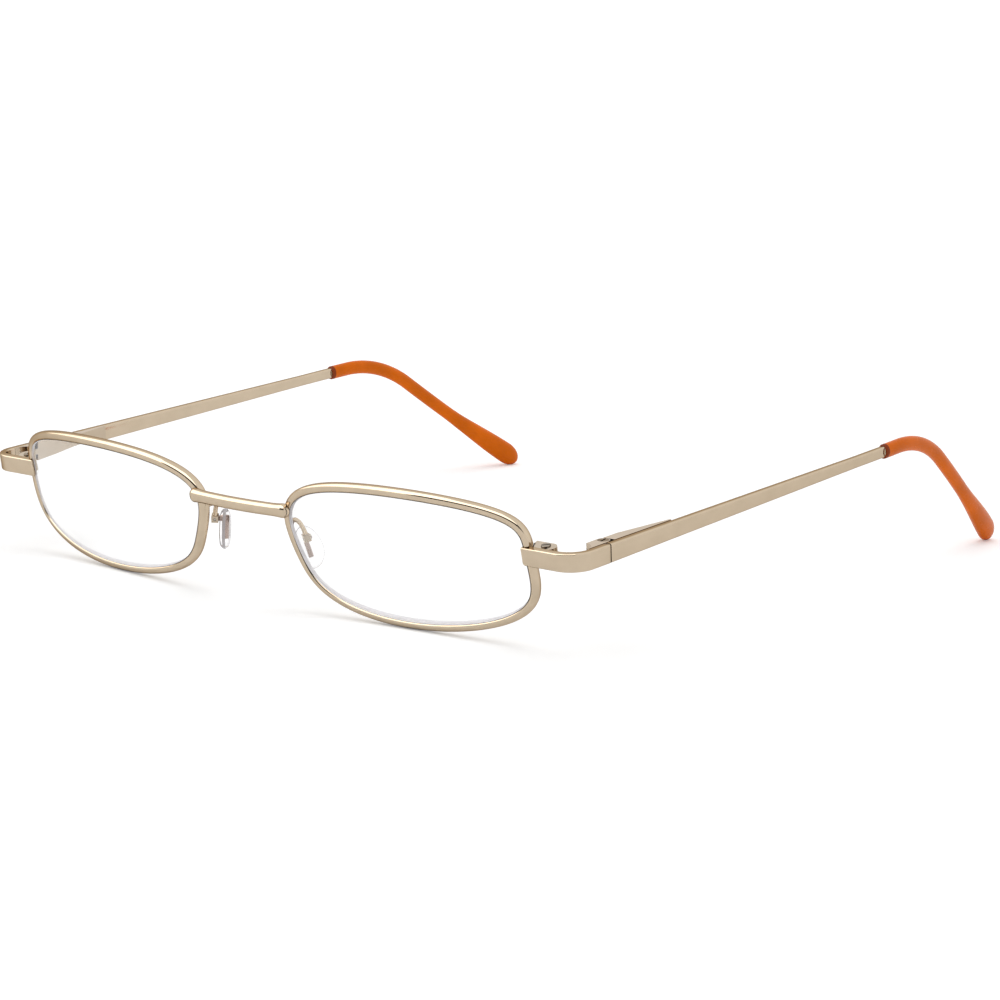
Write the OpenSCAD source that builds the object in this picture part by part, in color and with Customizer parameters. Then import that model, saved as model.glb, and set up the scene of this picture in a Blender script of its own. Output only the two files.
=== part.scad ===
// Reading glasses with narrow metal rims, a straight bar bridge, wire nose-pad arms, two-part
// closing blocks, five-piece hinges and flat temples that end in moulded tips.
// The floor is z = 0 and the middle plane is x = 0. The front faces -Y and the temples run to +Y.
// The wearer's left side (+X) is modelled, and the right side is its mirror image.

/* [Lenses] */
// Width of a lens at the point of its bevel
lens_w = 45.25; // [40:0.05:54]
// Height of a lens at the point of its bevel
lens_h = 22.3; // [20:0.05:30]
// Least distance between the two lenses
lens_gap = 20.6; // [20:0.1:25]
// Radius of a lens's front face, which the rim follows too
lens_front_r = 80; // [70:1:120]
// Radius of a lens's back face, flatter than the front, as a reading lens is
lens_back_r = 110; // [100:1:160]
// Thickness of a lens at its middle
lens_mid_t = 2.3; // [2:0.05:3]
// Depth of the bevel round a lens
bevel_h = 0.45; // [0.3:0.05:0.5]
// Width of the bevel where it meets the lens
bevel_w = 0.84; // [0.7:0.02:1]
// How far a lens's front face stands before its bevel
lens_lip = 0.7; // [0.55:0.05:0.8]
// Room between a lens and its rim
lens_fit = 0.03; // [0.02:0.01:0.05]

/* [Lens outline] */
// Squareness of the sides, 0 is an ellipse
side_square = 0.102; // [0.08:0.002:0.12]
// Fullness of the nose side against the temple side
nose_full = 0.005; // [0:0.001:0.02]
// Lean of the sides
side_lean = 0.03; // [0.02:0.001:0.04]
// Twist of the sides
side_twist = 0.027; // [0.02:0.001:0.03]
// Tightness of the four corners, under 0 for softer ones
corner_tight = -0.003; // [-0.01:0.001:0.01]
// Flatness of the top and bottom edges, under 0 for fuller ones
edge_flat = -0.019; // [-0.03:0.001:0.01]
// Drop of the lower edge towards the cheek
cheek_drop = 0.031; // [0.02:0.001:0.04]
// Slope of the top edge towards the temple
brow_slope = 0.006; // [0:0.001:0.02]

/* [Rims] */
// Width of the rim wire, seen from the front
rim_w = 1.45; // [1.4:0.05:1.8]
// Depth of the rim wire, front to back
rim_d = 1.9; // [1.8:0.05:2.4]
// Radius of the rim wire's outer edges
rim_edge_r = 0.5; // [0.3:0.05:0.6]
// Radius of the rim wire's inner edges
rim_lip_r = 0.25; // [0.15:0.05:0.3]
// Angle that each rim turns back from the middle, in degrees
wrap = 6.06; // [4:0.1:8]
// Angle that the front leans forward as the glasses stand, in degrees
lean = 16.2; // [14:0.1:18]
// Place of a rim's joint on its outline, in degrees from its outer end
lock_at = 8.3; // [7:0.1:10]
// Stations round a rim
rim_steps = 80; // [64:4:96]

/* [Bridge] */
// Height of the bridge bar
bridge_h = 2.1; // [1.7:0.05:2.4]
// Depth of the bridge bar
bridge_d = 1.8; // [1.5:0.05:2.1]
// Place of the bridge on the rim's outline, in degrees from its outer end
bridge_at = 150; // [146:1:154]
// How far the bar's middle line lies before the rim wire's
bridge_ahead = 1.3; // [1.2:0.05:1.5]
// How far the bar's ends reach past the wire's middle line, over the rim
bridge_over = 0.75; // [0.3:0.05:0.8]
// Forward bow of the bar at its middle
bridge_bow = 0.5; // [0:0.05:1.5]
// Height of the brazing swell at each end of the bar
bridge_swell = 0.16; // [0:0.02:0.25]
// Length of the brazing swell at each end of the bar
swell_len = 3; // [2:0.1:4]

/* [Closing blocks] */
// Depth of a closing block behind the end piece
block_d = 2.3; // [2.2:0.05:2.6]
// Length of a closing block out to the middle of its round end
block_len = 3.25; // [3.1:0.05:3.5]
// Distance from the rim's middle line to the screw's axis
lock_screw_x = 2.5; // [2.3:0.05:2.6]
// Gap between the upper and the lower block, and between the rim's two ends
lock_gap = 0.1; // [0.06:0.02:0.2]
// Diameter of a closing screw's shank
lock_shank_d = 0.9; // [0.8:0.05:1]
// Diameter of a closing screw's head
lock_head_d = 1.5; // [1.4:0.05:1.6]
// Height of a closing screw's head
lock_head_h = 0.45; // [0.35:0.05:0.5]
// How far the closing blocks end inside the end piece's height
lock_in = 0.2; // [0.1:0.05:0.3]
// How far a closing screw's head stands proud of its block
lock_proud = 0.2; // [0.1:0.05:0.25]

/* [End pieces] */
// Height of the end piece and of the temple at the hinge
strip_h = 3.05; // [2.9:0.05:3.3]
// Thickness of the end piece and of the temple at the hinge
strip_t = 1.2; // [1.1:0.05:1.3]
// How far the front face lies before the rim's joint
face_ahead = 1.43; // [1.3:0.01:1.5]
// How far the front end reaches inwards past the rim wire's middle line
face_over = 0.65; // [0.3:0.05:0.9]
// How far the temple's outer face lies outside the rim wire's middle line
side_out = 10; // [9.6:0.1:11]
// Outer radius of the end piece's bend
turn_r = 4.2; // [4:0.1:4.4]
// Length of the end piece from its front face back to the seam
seam_back = 8.7; // [8.4:0.1:10]
// Radius of the lower front corner of the end piece
nose_corner_r = 0.35; // [0.3:0.05:0.8]
// Radius of the end piece's long edges
strip_edge_r = 0.25; // [0.15:0.05:0.35]
// How far the end piece's middle lies above the rim's joint
strip_up = 0.15; // [0:0.05:0.3]
// Angle that the temples rise towards the back, in degrees
rise = 5.14; // [4:0.02:6]
// Angle that the temples turn inwards, in degrees
toe = 0.55; // [0.4:0.05:1.5]

/* [Hinges] */
// Distance from the temple's outer face to the hinge's axis
axis_in = 2.45; // [2.4:0.05:2.7]
// Distance from the seam back to the hinge's axis
axis_back = 1.35; // [1.2:0.05:1.5]
// Radius of the knuckles
knuckle_r = 1.1; // [1:0.02:1.1]
// Height of the middle knuckle
middle_h = 0.94; // [0.8:0.02:1.1]
// Gap between two knuckles
knuckle_gap = 0.03; // [0.02:0.01:0.06]
// Gap at the seam between the end piece and the temple
seam_gap = 0.14; // [0.06:0.02:0.16]
// Room that the knuckles have to turn in
turn_room = 0.14; // [0.1:0.02:0.16]
// Diameter of a hinge screw's shank
pin_d = 1.2; // [1:0.05:1.25]
// Running clearance of a screw's shank in its bore, all round
pin_fit = 0.05; // [0.03:0.01:0.06]
// Diameter of a hinge screw's head
pin_head_d = 1.8; // [1.7:0.05:1.85]
// Height of a hinge screw's head
pin_head_h = 0.42; // [0.35:0.01:0.5]
// Gap round a screw's head in its seat
head_fit = 0.05; // [0.03:0.01:0.08]
// Width of a screw's slot as a share of its head's diameter
slot_wide = 0.17; // [0.12:0.01:0.2]
// Depth of a screw's slot as a share of its head's height
slot_deep = 0.6; // [0.4:0.05:0.7]
// Depth of the temple leaf inwards from the hinge's axis
leaf_in = 0.9; // [0.8:0.02:1]
// Length of the temple leaf's full-depth part
leaf_flat = 3.6; // [3:0.1:5]
// Length of the temple leaf
leaf_len = 15; // [12:0.5:18]
// Thickness of the temple leaf at its rear end
leaf_end_t = 0.35; // [0.25:0.05:0.5]

/* [Temples] */
// Height of the temple bar before its tip
bar_h = 1.95; // [1.9:0.05:2.4]
// Thickness of the temple bar before its tip
bar_t = 1; // [0.95:0.05:1.1]
// Length over which the temple narrows
bar_taper = 70; // [50:1:76]
// Radius of the temple bar's long edges
bar_edge_r = 0.3; // [0.15:0.05:0.4]
// Length of the temple bar from the seam to the mouth of its tip
bar_len = 79.05; // [74:0.05:90]
// Diameter of the core wire inside the tip
core_d = 1.4; // [1.2:0.05:1.5]
// Length of the core wire inside the tip
core_len = 34; // [26:0.5:36]

/* [Temple tips] */
// Length of the tip's straight start
tip_start = 4.9; // [4:0.1:10]
// Radius of the bend over the ear
ear_r = 26.5; // [22:0.5:30]
// Angle of the bend over the ear, in degrees
ear_turn = 37.8; // [34:0.2:42]
// Length of the straight behind the ear bend
drop_len = 16.3; // [14:0.1:19]
// Radius of the slight bend back
back_r = 70; // [50:1:90]
// Angle of the slight bend back, in degrees
back_turn = 1; // [0.5:0.5:6]
// Radius of the inward curve of the tip and its core, seen from above
inward_r = 172; // [145:1:500]
// Height of the tip at its mouth
mouth_h = 2.6; // [2.4:0.05:2.9]
// Thickness of the tip at its mouth
mouth_t = 2.1; // [1.95:0.05:2.4]
// Greatest height of the tip's foot
foot_h = 4.3; // [3.4:0.1:4.8]
// Greatest thickness of the tip's foot
foot_t = 2.9; // [2.4:0.1:3.2]
// Length of the foot's rounded end
foot_round = 3.4; // [2.6:0.1:4]
// Length over which the tip grows to its foot
foot_grow = 22; // [18:1:30]
// Room round the core wire inside the tip
core_fit = 0.06; // [0.04:0.01:0.1]

/* [Nose pads] */
// Length of a nose pad
pad_len = 7.2; // [6.6:0.1:8]
// Width of a nose pad
pad_w = 5; // [4.6:0.1:5.4]
// Thickness of a nose pad
pad_t = 1.6; // [1.5:0.05:1.7]
// Distance of a pad's middle from the middle plane
pad_x = 9.95; // [9.7:0.05:10.2]
// Distance of a pad's middle behind the rim wire at the pad arm's root
pad_behind = 3.9; // [3.6:0.1:4.2]
// Height of a pad's middle under the rims' middle height
pad_down = 3; // [2.8:0.1:3.4]
// Angle between a pad and the middle plane, seen from above, in degrees
pad_splay = 36; // [32:1:38]
// Angle that a pad's lower end turns outwards, in degrees
pad_flare = 11; // [8:1:13]
// Angle that a pad's lower end turns backwards, in degrees
pad_pitch = 7; // [4:1:9]
// Distance from a pad's middle to its screw's axis
pad_axis = 1.65; // [1.55:0.05:1.75]
// Height of a pad's screw above the pad's middle
pad_high = 1.9; // [1.7:0.1:2.1]
// Height of a pad box
pad_box_h = 1.2; // [1.1:0.05:1.3]
// Width of a pad box
pad_box_w = 1.2; // [1.1:0.05:1.3]
// Depth of a pad box
pad_box_d = 1.15; // [1.1:0.05:1.2]
// Width of the slot in a pad box
pad_slot_w = 0.46; // [0.4:0.02:0.5]
// Room on each side of the insert's eye in the pad box's slot
eye_room = 0.04; // [0.03:0.01:0.06]
// Diameter of a pad screw's shank
pad_shank_d = 0.4; // [0.35:0.05:0.45]
// Diameter of a pad screw's head
pad_head_d = 0.8; // [0.7:0.05:0.9]
// Height of a pad screw's head
pad_head_h = 0.22; // [0.2:0.02:0.3]
// Height of the insert's bar inside a pad
insert_h = 3.9; // [3.5:0.1:4.2]
// Width of the insert's bar inside a pad
insert_w = 0.75; // [0.7:0.05:1.2]
// Thickness of the insert's bar
insert_t = 0.7; // [0.5:0.05:0.8]
// Radius of the insert's eye
eye_r = 0.42; // [0.38:0.01:0.44]
// Diameter of a pad arm's wire
arm_d = 0.75; // [0.7:0.05:0.9]
// Place of a pad arm's root on the rim's outline, in degrees from its outer end
arm_at = 164; // [160:1:168]
// How far the pad arm first runs back from the rim
arm_out = 2.2; // [2:0.1:2.8]
// How far the pad arm rises above the pad box as it comes down
arm_lead = 2.2; // [1.8:0.1:2.6]
// Sideways swing of the pad arm towards the nose
arm_swing = 1.4; // [1:0.1:1.8]

/* [Assembly] */
// Gap that stands for the solder where two pieces of the frame are joined
braze = 0.03; // [0.02:0.01:0.05]
// Room round the rim wire in the slots of the pieces that are brazed across it
slot_room = 0.1; // [0.08:0.01:0.14]

/* [Hidden] */
$fn = 48;

// The rim wire's middle line lies outside the bevel's point by what is left of the wire there.
groove_h = bevel_h;
wire_off = rim_w / 2 - groove_h;
wire_box_w = lens_w + 2 * wire_off;
wire_box_h = lens_h + 2 * wire_off;
rim_x = lens_gap / 2 + lens_w / 2;

// Outline of the rim wire's middle line: u points to the temple, v points up. An ellipse's
// first terms are joined by small terms of higher order, and the sum is scaled to its box.
function outline_u(t) = cos(t) - side_square * cos(3 * t) - nose_full * cos(2 * t)
    + side_lean * sin(2 * t) - side_twist * sin(3 * t) + corner_tight * cos(4 * t);
function outline_v(t) = sin(t) + edge_flat * sin(3 * t) + cheek_drop * cos(3 * t)
    + brow_slope * sin(4 * t);
us = [for (t = [0:359]) outline_u(t)];
vs = [for (t = [0:359]) outline_v(t)];
scale_u = wire_box_w / (max(us) - min(us));
scale_v = wire_box_h / (max(vs) - min(vs));
mid_u = (max(us) + min(us)) / 2;
mid_v = (max(vs) + min(vs)) / 2;
function wire_uv(t) = [scale_u * (outline_u(t) - mid_u), scale_v * (outline_v(t) - mid_v)];

function unit(p) = p / norm(p);
// Unit vector along the outline, and the one that points out of it
half_step = 0.5;
function along_uv(t) = unit(wire_uv(t + half_step) - wire_uv(t - half_step));
function out_uv(t) = [along_uv(t)[1], -along_uv(t)[0]];
// Depth of a sphere's surface behind its front point
function sag(r, q) = r - sqrt(r * r - q * q);

// A point of the rim's section at turn t, a outwards from the wire's middle line and b to the
// back. The section stands square to the lens's sphere. Local axes are u, back, v.
function section(t, a, b) =
    let (p = wire_uv(t), o = out_uv(t), r = lens_front_r, w = sag(r, norm(p)),
         back = unit([-p[0], r - w, -p[1]]),
         outer = unit([o[0], 0, o[1]] - ([o[0], 0, o[1]] * back) * back))
    [p[0], w, p[1]] + a * outer + b * back;

function turn_x(p, a) = [p[0], p[1] * cos(a) - p[2] * sin(a), p[1] * sin(a) + p[2] * cos(a)];
function turn_y(p, a) = [p[0] * cos(a) + p[2] * sin(a), p[1], p[2] * cos(a) - p[0] * sin(a)];
function turn_z(p, a) = [p[0] * cos(a) - p[1] * sin(a), p[0] * sin(a) + p[1] * cos(a), p[2]];
// From a rim's axes to the front's axes, and from there to the leaning front
function rim_to_front(p) = turn_z(p + [rim_x, 0, 0], wrap);
function lean_front(p) = turn_x(p, lean);

// Quarter arc of n + 1 points from angle start
function arc(c, r, start, n) =
    [for (i = [0:n]) let (a = start + 90 * i / n) c + r * [cos(a), sin(a)]];
// Section of the rim wire with its groove on the lens side
edge_x = rim_w / 2 - rim_edge_r;
edge_y = rim_d / 2 - rim_edge_r;
lip_x = rim_w / 2 - rim_lip_r;
lip_y = rim_d / 2 - rim_lip_r;
rim_section = concat(
    arc([edge_x, edge_y], rim_edge_r, 0, 3),
    arc([-lip_x, lip_y], rim_lip_r, 90, 1),
    [[-rim_w / 2, bevel_w / 2], [-rim_w / 2 + groove_h, 0], [-rim_w / 2, -bevel_w / 2]],
    arc([-lip_x, -lip_y], rim_lip_r, 180, 1),
    arc([edge_x, -edge_y], rim_edge_r, 270, 3));

// Half the rim joint's gap, as degrees of turn
lock_half = half_step * lock_gap / norm(wire_uv(lock_at + half_step) - wire_uv(lock_at - half_step));
rim_turns = [for (i = [rim_steps:-1:0]) lock_at + lock_half + (360 - 2 * lock_half) * i / rim_steps];
rim_rings = [for (t = rim_turns) [for (q = rim_section) section(t, q[0], q[1])]];
rim_points = [for (ring = rim_rings) for (p = ring) lean_front(rim_to_front(p))];
// The rims stand on the floor, and the glasses' length is centred on y = 0.
stand_h = -min([for (p = rim_points) p[2]]);
front_y = min([for (p = rim_points) p[1]]);

// A closed skin over rings of equal count, with flat ends
function ring_sides(n, m) = [for (i = [0:n - 2]) for (j = [0:m - 1])
    let (k = (j + 1) % m) [i * m + j, i * m + k, (i + 1) * m + k, (i + 1) * m + j]];
module skin(rings) {
    n = len(rings);
    m = len(rings[0]);
    points = [for (ring = rings) for (p = ring) p];
    caps = [[for (j = [m - 1:-1:0]) j], [for (j = [0:m - 1]) (n - 1) * m + j]];
    polyhedron(points, concat(ring_sides(n, m), caps), convexity = 8);
}

// Joint of the rim. The corner's axes start there and lean with the front, and the closing
// blocks and the front end of the end piece stand square in them.
lock_point = lean_front(rim_to_front(section(lock_at, 0, 0)));
// Directions of the side's axes
function to_side(p) = turn_x(turn_z(p, toe), rise);

// Sizes in the corner's and the side's axes: x outwards, y to the back, z up
face_y = -face_ahead;
back_y = face_y + strip_t;
seam_y = face_y + seam_back;
bend_x = side_out - turn_r;
bend_y = face_y + turn_r;
inner_x = side_out - strip_t;
axis_x = side_out - axis_in;
axis_y = seam_y + axis_back;
top_z = strip_h / 2;
block_y = back_y + braze;
block_mid_y = block_y + block_d / 2;
block_r = block_d / 2;
temple_y = seam_y + seam_gap;
leaf_y = axis_y + knuckle_r + turn_room + braze;
mouth_y = seam_y + bar_len;
core_x = side_out - bar_t / 2;

// Middle line of the end piece: along the leaning front, round the bend and back along the side.
// Its section turns from the front's lean to the side's rise as it goes round the bend.
bend_r = turn_r - strip_t / 2;
side_dir = to_side([0, 1, 0]);
side_up = to_side([0, 0, 1]);
corner_up = turn_x([0, 0, 1], lean);
bend_start = lock_point + turn_x([bend_x, face_y + strip_t / 2, strip_up], lean);
function bend_point(a) = bend_start + bend_r * (sin(a) * [1, 0, 0] + (1 - cos(a)) * side_dir);
// The side's axes lie so that the temple's middle line goes on from the end of the bend.
side_origin = bend_point(90) - to_side([side_out - strip_t / 2, bend_y, 0]);

// Middle line of a temple tip: a straight, the bend over the ear, a straight, a slight bend back
// and a last straight that ends on the floor. d is the length from the tip's mouth.
bend_1 = tip_start;
bend_2 = bend_1 + ear_r * ear_turn * PI / 180;
bend_3 = bend_2 + drop_len;
bend_4 = bend_3 + back_r * back_turn * PI / 180;
dir_2 = [cos(ear_turn), -sin(ear_turn)];
up_2 = [sin(ear_turn), cos(ear_turn)];
last_turn = ear_turn - back_turn;
function ear_bend(a) = ear_r * [sin(a), cos(a) - 1];
function back_bend(a) = back_r * (sin(a) * dir_2 + (1 - cos(a)) * up_2);
end_1 = [mouth_y + tip_start, 0];
end_2 = end_1 + ear_bend(ear_turn);
end_3 = end_2 + drop_len * dir_2;
end_4 = end_3 + back_bend(back_turn);
function tip_yz(d) =
    d < bend_1 ? [mouth_y + d, 0] :
    d < bend_2 ? end_1 + ear_bend((d - bend_1) / ear_r * 180 / PI) :
    d < bend_3 ? end_2 + (d - bend_2) * dir_2 :
    d < bend_4 ? end_3 + back_bend((d - bend_3) / back_r * 180 / PI) :
    end_4 + (d - bend_4) * [cos(last_turn), -sin(last_turn)];
function tip_point(d) =
    let (q = tip_yz(d), run = max(q[0] - mouth_y, 0))
    [core_x - run * run / (2 * inward_r), q[0], q[1]];
step_d = 0.05;
// A ring of the tip's section round its middle line, with its x axis kept level
function tip_ring(d, flat) =
    let (f = unit(tip_point(d + step_d) - tip_point(d - step_d)),
         s = unit([1, 0, 0] - f[0] * f), n = cross(s, f))
    [for (q = flat) tip_point(d) + q[0] * s + q[1] * n];

// Rounded rectangle of 4 (n + 1) points, w wide and h high with corner radius r
function round_rect(w, h, r, n) =
    let (x = w / 2 - r, y = h / 2 - r)
    concat(arc([x, y], r, 0, n), arc([-x, y], r, 90, n), arc([-x, -y], r, 180, n), arc([x, -y], r, 270, n));
// Ellipse of the same count
function oval(w, h, n) = [for (i = [0:4 * n + 3]) let (a = 360 * (i + 0.5) / (4 * n + 4))
    [w / 2 * cos(a), h / 2 * sin(a)]];
ring_n = 3;

// Height and thickness of the tip at a length d, which swells smoothly into its foot
function ease(x) = let (k = min(max(x, 0), 1)) k * k * (3 - 2 * k);
function foot_share(d, all) = ease((d - (all - foot_grow)) / (foot_grow - foot_round));
function tip_h(d, all) = mouth_h + (foot_h - mouth_h) * foot_share(d, all);
function tip_t(d, all) = mouth_t + (foot_t - mouth_t) * foot_share(d, all);
// Height of a point of the side's axes over the floor
function floor_z(p) = stand_h + side_origin[2] + to_side(p)[2];
// The foot's round end is half an ellipsoid. The last straight is as long as brings its lowest
// point to the floor: drop is how far that point lies under the start of the round end.
foot_dir = to_side([0, cos(last_turn), -sin(last_turn)]);
foot_up = to_side([0, sin(last_turn), cos(last_turn)]);
foot_drop = norm([foot_round * foot_dir[2], foot_h / 2 * foot_up[2]]);
last_len = (floor_z([0, end_4[0], end_4[1]]) - foot_drop) / -foot_dir[2];
foot_from = bend_4 + last_len;
tip_len = foot_from + foot_round;
tip_steps = 26;
tip_stations = [for (i = [0:tip_steps - 1]) foot_from * i / tip_steps];
round_angles = [0, 18, 36, 54, 72, 88];
tip_rings = concat(
    [for (d = tip_stations) tip_ring(d, oval(tip_t(d, tip_len), tip_h(d, tip_len), ring_n))],
    [for (a = round_angles)
        tip_ring(foot_from + foot_round * sin(a), oval(foot_t * cos(a), foot_h * cos(a), ring_n))]);
back_y_max = max([for (ring = tip_rings) for (p = ring) (to_side(p) + side_origin)[1]]);
centre_y = (front_y + back_y_max) / 2;

// Places the front's axes and the side's axes in the part's frame
module on_front() {
    translate([0, -centre_y, stand_h]) rotate([lean, 0, 0]) children();
}
module on_rim() {
    on_front() rotate([0, 0, wrap]) translate([rim_x, 0, 0]) children();
}
module on_corner() {
    translate(lock_point + [0, -centre_y, stand_h]) rotate([lean, 0, 0]) children();
}
module on_side() {
    translate(side_origin + [0, -centre_y, stand_h]) rotate([rise, 0, 0]) rotate([0, 0, toe]) children();
}
module right() {
    mirror([1, 0, 0]) children();
}

// A straight length of the rim wire's room, which is cut from what is brazed to it. The wire bends
// a little along it, and slot_room is what that takes. over is how far it goes on over the lens.
module wire_slot(at, over = 0) {
    c = section(at, 0, 0);
    o = unit(section(at, 1, 0) - c);
    b = unit(section(at, 0, 1) - c);
    a = cross(o, b);
    multmatrix([[o[0], b[0], a[0], c[0]], [o[1], b[1], a[1], c[1]], [o[2], b[2], a[2], c[2]]])
        translate([-rim_w / 2 - slot_room - over, -rim_d / 2 - slot_room, -2 * strip_h])
            cube([rim_w + 2 * slot_room + over, rim_d + 2 * slot_room, 4 * strip_h]);
}

// Puts the rim's axes inside the corner's axes, so that a piece there can be cut by the wire
module rim_in_corner() {
    rotate([-lean, 0, 0]) translate(-lock_point) rotate([lean, 0, 0])
        rotate([0, 0, wrap]) translate([rim_x, 0, 0]) children();
}

module rim() {
    color("tan") on_rim() skin(rim_rings);
}

// Rings of the lens: its front face, its bevel and its back face, shrunk towards the middle. The
// front face shares the bevel's centre of curvature, and the back face is flatter.
lens_turns = [for (i = [0:rim_steps - 1]) lock_at + 360 * i / rim_steps];
lens_edge = -wire_off - lens_fit - bevel_h;
lens_point = -wire_off - lens_fit;
function lens_front(q) = lens_front_r - sqrt(pow(lens_front_r + lens_lip, 2) - q * q);
function lens_back(q) = lens_mid_t - lens_lip + sag(lens_back_r, q);
function edge_uv(t, b) = let (p = section(t, lens_edge, b)) [p[0], p[2]];
// Distance from the bevel to the back face along the rim's section
function back_b(t) =
    let (p = section(t, lens_edge, 0), q = norm([p[0], p[2]]), s = q / lens_front_r)
    (lens_back(q) - p[1]) / (sqrt(1 - s * s) + s * q / lens_back_r);
function front_ring(k) = [for (t = lens_turns) let (p = k * edge_uv(t, -lens_lip))
    [p[0], lens_front(norm(p)), p[1]]];
function back_ring(k) = [for (t = lens_turns) let (p = k * edge_uv(t, back_b(t)))
    [p[0], lens_back(norm(p)), p[1]]];
face_rings = [0.02, 0.35, 0.7, 1];
module lens() {
    color("aliceblue", 0.4) on_rim() skin(concat(
        [for (k = face_rings) front_ring(k)],
        [[for (t = lens_turns) section(t, lens_edge, -bevel_w / 2 + lens_fit)],
         [for (t = lens_turns) section(t, lens_point, 0)],
         [for (t = lens_turns) section(t, lens_edge, bevel_w / 2 - lens_fit)]],
        [for (i = [len(face_rings) - 1:-1:0]) back_ring(face_rings[i])]));
}

// The bridge runs straight between the rims' nose sides and bows slightly forward. Its section
// swells where it is brazed, and its ends are round.
bridge_root = rim_to_front(section(bridge_at, 0, 0));
bridge_x = bridge_root[0] + bridge_over;
bridge_round = bridge_h / 2;
bridge_n = 12;
function bridge_scale(x) = let (q = bridge_x - abs(x))
    (1 + bridge_swell * (1 - ease(q / swell_len))) * sqrt(1 - pow(max(1 - (q + 0.001) / bridge_round, 0), 2));
function bridge_ring(x) = let (k = bridge_scale(x), mid = 1 - pow(x / bridge_x, 2))
    [for (q = round_rect(bridge_d * k, bridge_h * k, min(bridge_d, bridge_h) * k * 0.45, ring_n))
        [x, bridge_root[1] - bridge_ahead - bridge_bow * mid - q[0], bridge_root[2] + q[1]]];
end_angles = [2, 25, 50, 75];
bridge_xs = concat(
    [for (a = end_angles) -bridge_x + bridge_round * (1 - cos(a))],
    [for (i = [-bridge_n:bridge_n]) (bridge_x - bridge_round) * i / bridge_n],
    [for (i = [len(end_angles) - 1:-1:0]) bridge_x - bridge_round * (1 - cos(end_angles[i]))]);
module bridge() {
    color("tan") on_front() difference() {
        skin([for (x = bridge_xs) bridge_ring(x)]);
        rotate([0, 0, wrap]) translate([rim_x, 0, 0]) wire_slot(bridge_at, rim_lip_r);
        right() rotate([0, 0, wrap]) translate([rim_x, 0, 0]) wire_slot(bridge_at, rim_lip_r);
    }
}

// Plan of a closing block: a square root beside the rim and a round outer end
module block_plan(r) {
    translate([-braze, block_mid_y - r]) square([block_len + braze, 2 * r]);
    translate([block_len, block_mid_y]) circle(r);
}
lock_top_z = top_z + strip_up - lock_in;
lock_low_z = strip_up - top_z + lock_in;
lock_seat_z = lock_top_z - lock_head_h + lock_proud;
module lock_block(low, high) {
    on_corner() difference() {
        translate([0, 0, low]) linear_extrude(high - low) block_plan(block_r);
        translate([lock_screw_x, block_mid_y, -strip_h])
            cylinder(d = lock_shank_d + 2 * pin_fit, h = 2 * strip_h);
        translate([lock_screw_x, block_mid_y, lock_seat_z - braze])
            cylinder(d = lock_head_d + 2 * head_fit, h = strip_h);
        rim_in_corner() wire_slot(lock_at);
    }
}
module upper_lock() {
    color("tan") lock_block(lock_gap / 2, lock_top_z);
}
module lower_lock() {
    color("tan") lock_block(lock_low_z, -lock_gap / 2);
}
// A slotted cheese-head screw that stands on z = 0 with its head up
module slotted_screw(shank_d, shank_l, head_d, head_h, slot_turn) {
    translate([0, 0, -shank_l]) cylinder(d = shank_d, h = shank_l + head_h / 2);
    difference() {
        cylinder(d = head_d, h = head_h);
        rotate([0, 0, slot_turn])
            translate([-head_d, -slot_wide * head_d / 2, head_h - slot_deep * head_h])
                cube([2 * head_d, slot_wide * head_d, head_h]);
    }
}
module lock_screw() {
    color("silver") on_corner() translate([lock_screw_x, block_mid_y, lock_seat_z])
        slotted_screw(lock_shank_d, lock_seat_z - lock_low_z, lock_head_d, lock_head_h, 30);
}

// Rings of the end piece. In the part's own terms a ring is a rounded rectangle whose height
// stands along up and whose thickness stands along out. cut is what the front corner takes off
// below.
function strip_ring(c, out, up, cut) =
    [for (q = round_rect(strip_t, strip_h - cut, strip_edge_r, ring_n))
        c + q[0] * out + (q[1] + cut / 2) * up];
function corner_cut(q) = q > nose_corner_r ? 0
    : nose_corner_r - sqrt(nose_corner_r * nose_corner_r - pow(nose_corner_r - q, 2));
corner_out = turn_x([0, -1, 0], lean);
front_len = bend_x + face_over;
corner_qs = [for (a = [0:22.5:90]) nose_corner_r * (1 - cos(a))];
function bend_ring(a) =
    let (f = cos(a) * [1, 0, 0] + sin(a) * side_dir,
         mix = (1 - a / 90) * corner_up + a / 90 * side_up,
         up = unit(mix - (mix * f) * f))
    strip_ring(bend_point(a), cross(f, up), up, 0);
bend_steps = 10;
seam_len = seam_y - bend_y;
strip_rings = concat(
    [for (q = corner_qs)
        strip_ring(bend_start + [q - front_len, 0, 0], corner_out, corner_up, corner_cut(q))],
    [for (i = [0:bend_steps]) bend_ring(90 * i / bend_steps)],
    [strip_ring(bend_point(90) + seam_len * side_dir, to_side([1, 0, 0]), side_up, 0)]);
module end_piece() {
    color("tan") translate([0, -centre_y, stand_h]) difference() {
        skin(strip_rings);
        rotate([lean, 0, 0]) rotate([0, 0, wrap]) translate([rim_x, 0, 0])
            wire_slot(lock_at, face_over + rim_w);
    }
}

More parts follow.
